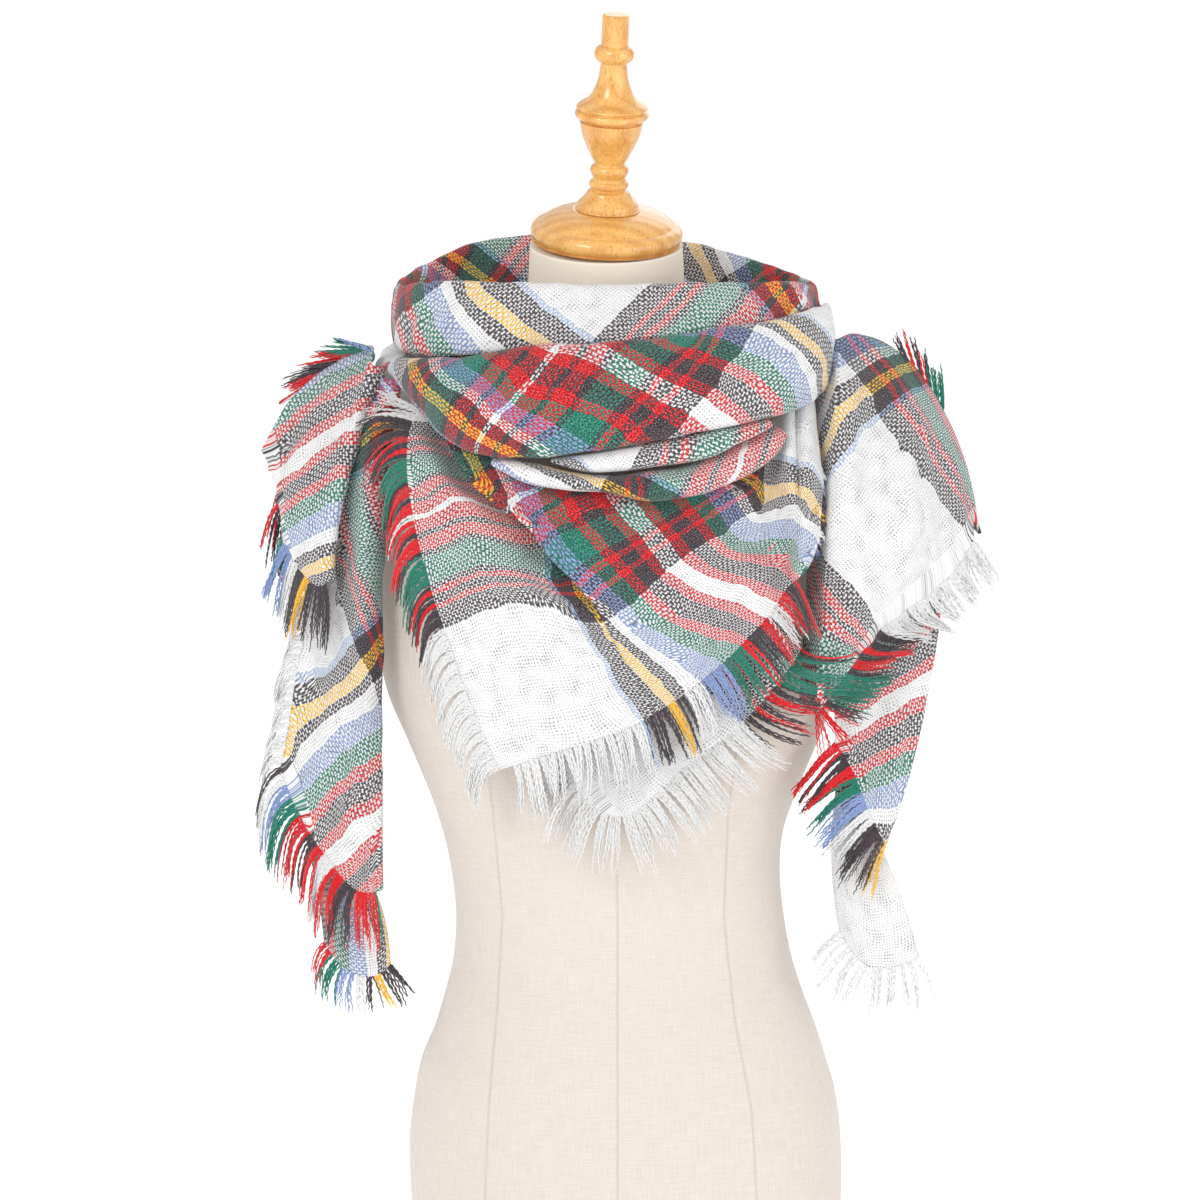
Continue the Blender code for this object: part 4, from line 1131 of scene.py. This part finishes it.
TAIL_RIGHT = [
    (146, -84, 458, 151, -80, 414),
    (161, -84, 450, 163, -78, 395),
    (179, -78, 440, 174, -76, 368),
    (198, -70, 432, 184, -72, 346),
    (213, -62, 430, 190, -64, 338),
]
TAIL_RIGHT_KEYS = [
    (900, 697, 0, 140), (860, 722, 0, 176), (910, 705, 10, 132), (850, 745, 10, 184),
    (905, 728, 21, 137), (856, 752, 21, 182), (905, 745, 31, 135), (860, 770, 31, 178),
    (903, 762, 42.5, 135), (866, 785, 42.5, 176), (896, 790, 55.5, 140), (893, 815, 66, 142),
    (886, 835, 75, 150), (880, 838, 78, 160),
]
tail_top = behind(drape, (0, 1, 3), (0.25, 1, 5), (0.42, 1, 5), (0.58, 1, 5), (0.75, 1, 4))
tail = creased(hanging_grid(TAIL_RIGHT, 50, 70, tail_top), [
    (160, 470, 168, 400, 7, 2.5), (185, 480, 182, 370, 7, -2.5), (205, 480, 192, 380, 6, 2)],
    ripple=0.4, seed=16)
tail = hemmed(tail, -1, 4.0, 8.0)
tail_uv = lay(tail, TAIL_RIGHT_KEYS, (999, 186))
tail_thing = cloth("right_tail", tail, tail_uv, ("tail_right",))
tail_fringe = fringe("right_tail_fringe", tail[:50, -1], tail[:50, -14], tail_uv[:50, -1], 46,
                     ((-0.5, -0.3, -1.0), (-0.6, -0.3, -0.7), (-0.2, -0.3, -0.9)),
                     "fringe_tail_right", 26, 3.0, cling=0.5)

TAIL_RIGHT_END = [
    (150, -66, 340, 156, -62, 276),
    (166, -62, 318, 174, -60, 250),
    (184, -60, 306, 194, -57, 246),
    (200, -58, 300, 214, -54, 254),
]
end_top = behind(tail[:50], (0.12, 1, 3), (0.38, 1, 4), (0.62, 1, 5), (0.88, 1, 6))
tail_end = creased(hanging_grid(TAIL_RIGHT_END, 36, 40, end_top), [], ripple=0.4, seed=17)
tail_end_uv = selvage_last(tail_end, 110)
tail_end_thing = cloth("right_tail_end", tail_end, tail_end_uv, ("tail_right_end",))
tail_end_fringe = fringe("right_tail_end_fringe", tail_end[:, -1], tail_end[:, -8],
                         tail_end_uv[:, -1], 36, (0, 0, -0.4), "fringe_tail_right_end", 27)
over = drape - normals(drape) * 3.0
shoulder_right = fringe("right_shoulder_fringe", over[46:66, 3], over[46:66, 12],
                        np.linspace((0, -80), (3, -35), 20), 40,
                        ((-0.7, 0, 1.5), (-0.3, 0, 1.4), (-0.1, 0, 1.0)),
                        "fringe_shoulder_right", 28, 2.4, 0.3, cling=0.9)


# ---------------------------------------------------------------- left end
# The other end falls over the other shoulder in a wide outer fold and a long inner one,
# with a last narrow piece of the corner below them.

# x y z of points from the top of each section to its lower edge
TAIL_LEFT_OUTER = [
    (-250, -34, 607, -248, -38, 602),
    (-243, -36, 607, -240, -45, 580),
    (-233, -46, 602, -234, -56, 550),
    (-222, -56, 602, -224, -66, 534),
    (-210, -66, 602, -215, -74, 525),
    (-197, -74, 600, -207, -80, 527),
]
TAIL_LEFT_INNER = [
    (-208, -48, 600, -217, -50, 530, -241, -56, 392),
    (-194, -60, 590, -204, -64, 505, -226, -62, 355),
    (-182, -71, 585, -189, -77, 490, -208, -67, 329),
    (-173, -75, 580, -178, -82, 480, -190, -71, 308),
    (-166, -72, 580, -169, -78, 480, -173, -72, 305),
]
TAIL_LEFT_END = [
    (-218, -48, 310, -212, -52, 265),
    (-202, -54, 290, -196, -56, 245),
    (-184, -56, 285, -178, -57, 240),
    (-170, -58, 290, -164, -58, 250),
]
OUTER_KEYS = [
    (350, 425, 0, 130), (300, 462, 0, 168), (275, 482, 0, 187), (345, 437, 10, 134),
    (338, 455, 21, 138), (335, 470, 31, 140), (285, 500, 24, 187), (330, 492, 42.5, 143),
    (288, 535, 52, 187), (327, 515, 55.5, 145), (325, 535, 66, 147), (322, 565, 83.5, 155),
    (303, 577, 83.5, 187), (322, 579, 94, 165), (352, 413, -10, 130), (350, 399, -21, 130),
    (350, 385, -31, 130), (348, 372, -42.5, 132), (290, 448, -20, 183), (330, 377, -42.5, 150),
    (275, 456, -21, 187), (277, 467, -10, 187),
]
INNER_KEYS = [
    (345, 452, 83.5, 62), (372, 430, 83.5, 30), (355, 510, 128, 40), (365, 545, 150, 40),
    (370, 480, 115, 22), (384, 440, 95, 12), (338, 545, 140, 57), (332, 560, 148, 68),
    (358, 600, 190, 68), (335, 612, 185, 83.25), (350, 640, 213, 90), (318, 620, 175, 187),
    (316, 669, 213, 160), (341, 634, 205, 100), (379, 643, 234.5, 60), (366, 665, 234.5, 83.25),
    (340, 690, 234.5, 120), (320, 707, 234.5, 145), (286, 755, 238, 187), (378, 700, 256, 83.25),
    (340, 738, 262, 135), (302, 788, 266, 187), (350, 762, 275, 135), (307, 806, 277, 187),
    (355, 775, 286, 132), (312, 826, 286, 187), (350, 800, 297, 140), (318, 842, 299, 187),
    (345, 825, 307, 148), (350, 841, 318, 150), (331, 862, 320, 187), (372, 824, 318, 128),
    (352, 866, 329, 165), (372, 850, 329, 135), (372, 866, 339, 140), (376, 883, 350, 160),
]
ridge = back_drape[0, ::-1]
outer = creased(hanging_grid(
    TAIL_LEFT_OUTER, 60, 84, [*(ridge[[0, 11, 22, 33, 43]] + (-0.5, -1.6, 0.3)), (-176, -44, 680)]),
    [(-220, 640, -236, 560, 8, 3), (-205, 630, -214, 560, 7, -3)], ripple=0.5, seed=18)
outer = hemmed(outer, -1, 4.0, 12.0)
outer_uv = lay(outer, OUTER_KEYS, (999, 186))
outer_thing = cloth("left_tail_outer", outer, outer_uv, ("tail_left_outer",))
outer_fringe = fringe("left_tail_outer_fringe", outer[8:60, -1], outer[8:60, -26],
                      outer_uv[8:60, -1] - np.linspace((9, 0), (0, 0), 52), 46,
                      ((-0.2, 0, -2.5), (-0.4, 0, -2.0), (-0.2, -0.2, -1.6)),
                      "fringe_tail_left_outer", 29, 2.8, cling=0.35)
over = outer - normals(outer) * 3.0
shoulder_left = fringe("left_shoulder_fringe", over[24:53, 3], over[24:53, 12],
                       np.linspace((4, 0), (52, 3), 29), 38,
                       ((-1.6, 0, -1.2), (-1.6, 0, -0.3), (-1.3, 0, 0.5)),
                       "fringe_shoulder_left", 30, 3.4, 0.3, cling=0.8)
inner_top = [*behind(outer[:60], (0.8, 0.14, 3), (1, 0.14, 3.4)),
             (-170, -46, 668), (-165, -50, 668), (-160, -53, 668)]
inner = creased(hanging_grid(TAIL_LEFT_INNER, 60, 150, inner_top), [
    (-172, 640, -182, 480, 8, 5), (-192, 460, -212, 400, 9, 4.5), (-185, 600, -200, 500, 8, -3),
    (-180, 420, -186, 330, 7, 3.5), (-196, 400, -206, 350, 7, -3.5)], ripple=0.5, seed=19)
inner = hemmed(inner, -1, 4.0, 14.0)
inner_uv = lay(inner, INNER_KEYS, (999, 186))
inner_thing = cloth("left_tail_inner", inner, inner_uv, ("tail_left_inner",))
inner_fringes = [
    fringe("left_tail_side_fringe", inner[0, 102:], inner[7, 102:],
           np.linspace((0, 100), (0, 160), 48), 34, (0, 0.4, -1.6), "fringe_tail_left_side", 31,
           2.0),
    fringe("left_tail_fringe", inner[:60, -1], inner[:60, -18], inner_uv[:60, -1], 48,
           ((0.2, -0.3, -1.4), (0.2, -0.4, -1.3)), "fringe_tail_left", 32, 3.0, cling=0.5),
]
end_top = behind(inner[:60], (0.2, 1, 3), (0.4, 1, 4), (0.7, 1, 4), (0.9, 1, 3))
left_end = creased(hanging_grid(TAIL_LEFT_END, 36, 40, end_top), [], ripple=0.4, seed=20)
left_end_uv = selvage_last(left_end, 338)
left_end_thing = cloth("left_tail_end", left_end, left_end_uv, ("tail_left_end",))
left_end_fringe = fringe("left_tail_end_fringe", left_end[:, -1], left_end[:, -8],
                         np.linspace((346, 0), (420, 3), 36), 30, (0.2, 0, -0.7),
                         "fringe_tail_left_end", 33, 2.2)


# ---------------------------------------------------------------- back
# Behind, the cloth lies over both shoulder blades and joins the two ends. Its unpicked edge
# runs across the back as a fringe.

back_uv = carried(back_drape, outer_uv[:60, 0][np.linspace(59, 0, 44).astype(int)],
                  drape_uv[9:, 0][np.linspace(0, 83, 44).astype(int)])
back_thing = cloth("back_cloth", back_drape, back_uv, ("back_drape",))
back_fringe = fringe("back_fringe", back_drape[10:-10, -1], back_drape[10:-10, -8],
                     back_uv[10:-10, -1], 42, (0, 0, -0.4), "fringe_back", 34)


# ---------------------------------------------------------------- floor, light and camera
# A pale floor that glows a little, so that it stays white, and soft white light all round
# with a lamp on each side and one behind.

scene = bpy.context.scene
scene.view_settings.view_transform = "Standard"
floor_size = 4000.0
bpy.ops.mesh.primitive_plane_add(size=floor_size, location=(0, 0, 0))
floor = bpy.context.object
floor.name = "floor"
floor_material, floor_shader, _ = material("pale_floor", 0.9)
floor_shader.inputs["Base Color"].default_value = (0.93, 0.93, 0.93, 1)
floor_shader.inputs["Emission Color"].default_value = (1, 1, 1, 1)
floor_shader.inputs["Emission Strength"].default_value = 0.36
floor.data.materials.append(floor_material)

world = bpy.data.worlds.new("studio")
scene.world = world
world.use_nodes = True
world.node_tree.nodes["Background"].inputs[0].default_value = (1, 1, 1, 1)
world.node_tree.nodes["Background"].inputs[1].default_value = 0.72
for name, place, size, watts in (
        ("key", (-1.6, -2.6, 2.3), 1.1, 40.0),
        ("fill", (2.2, -2.0, 1.2), 2.0, 22.0),
        ("back_light", (0.8, 2.6, 2.2), 2.0, 14.0)):
    light = bpy.data.lights.new(name, "AREA")
    light.size = size
    light.energy = watts
    thing = bpy.data.objects.new(name, light)
    scene.collection.objects.link(thing)
    thing.location = place
    aim = np.array((0, 0, 0.55)) - np.array(place)
    thing.rotation_euler = (
        math.atan2(math.hypot(aim[0], aim[1]), -aim[2]), 0, math.atan2(-aim[0], aim[1]))

lens = bpy.data.cameras.new("camera")
lens.lens = FOCAL
lens.sensor_width = SENSOR
camera = bpy.data.objects.new("camera", lens)
scene.collection.objects.link(camera)
rise = math.radians(CAMERA_RISE)
camera.location = (CAMERA_AIM[0] * MM, -CAMERA_FAR * math.cos(rise) * MM,
                   (CAMERA_AIM[2] + CAMERA_FAR * math.sin(rise)) * MM)
camera.rotation_euler = (math.pi / 2 - rise, 0, 0)
scene.camera = camera
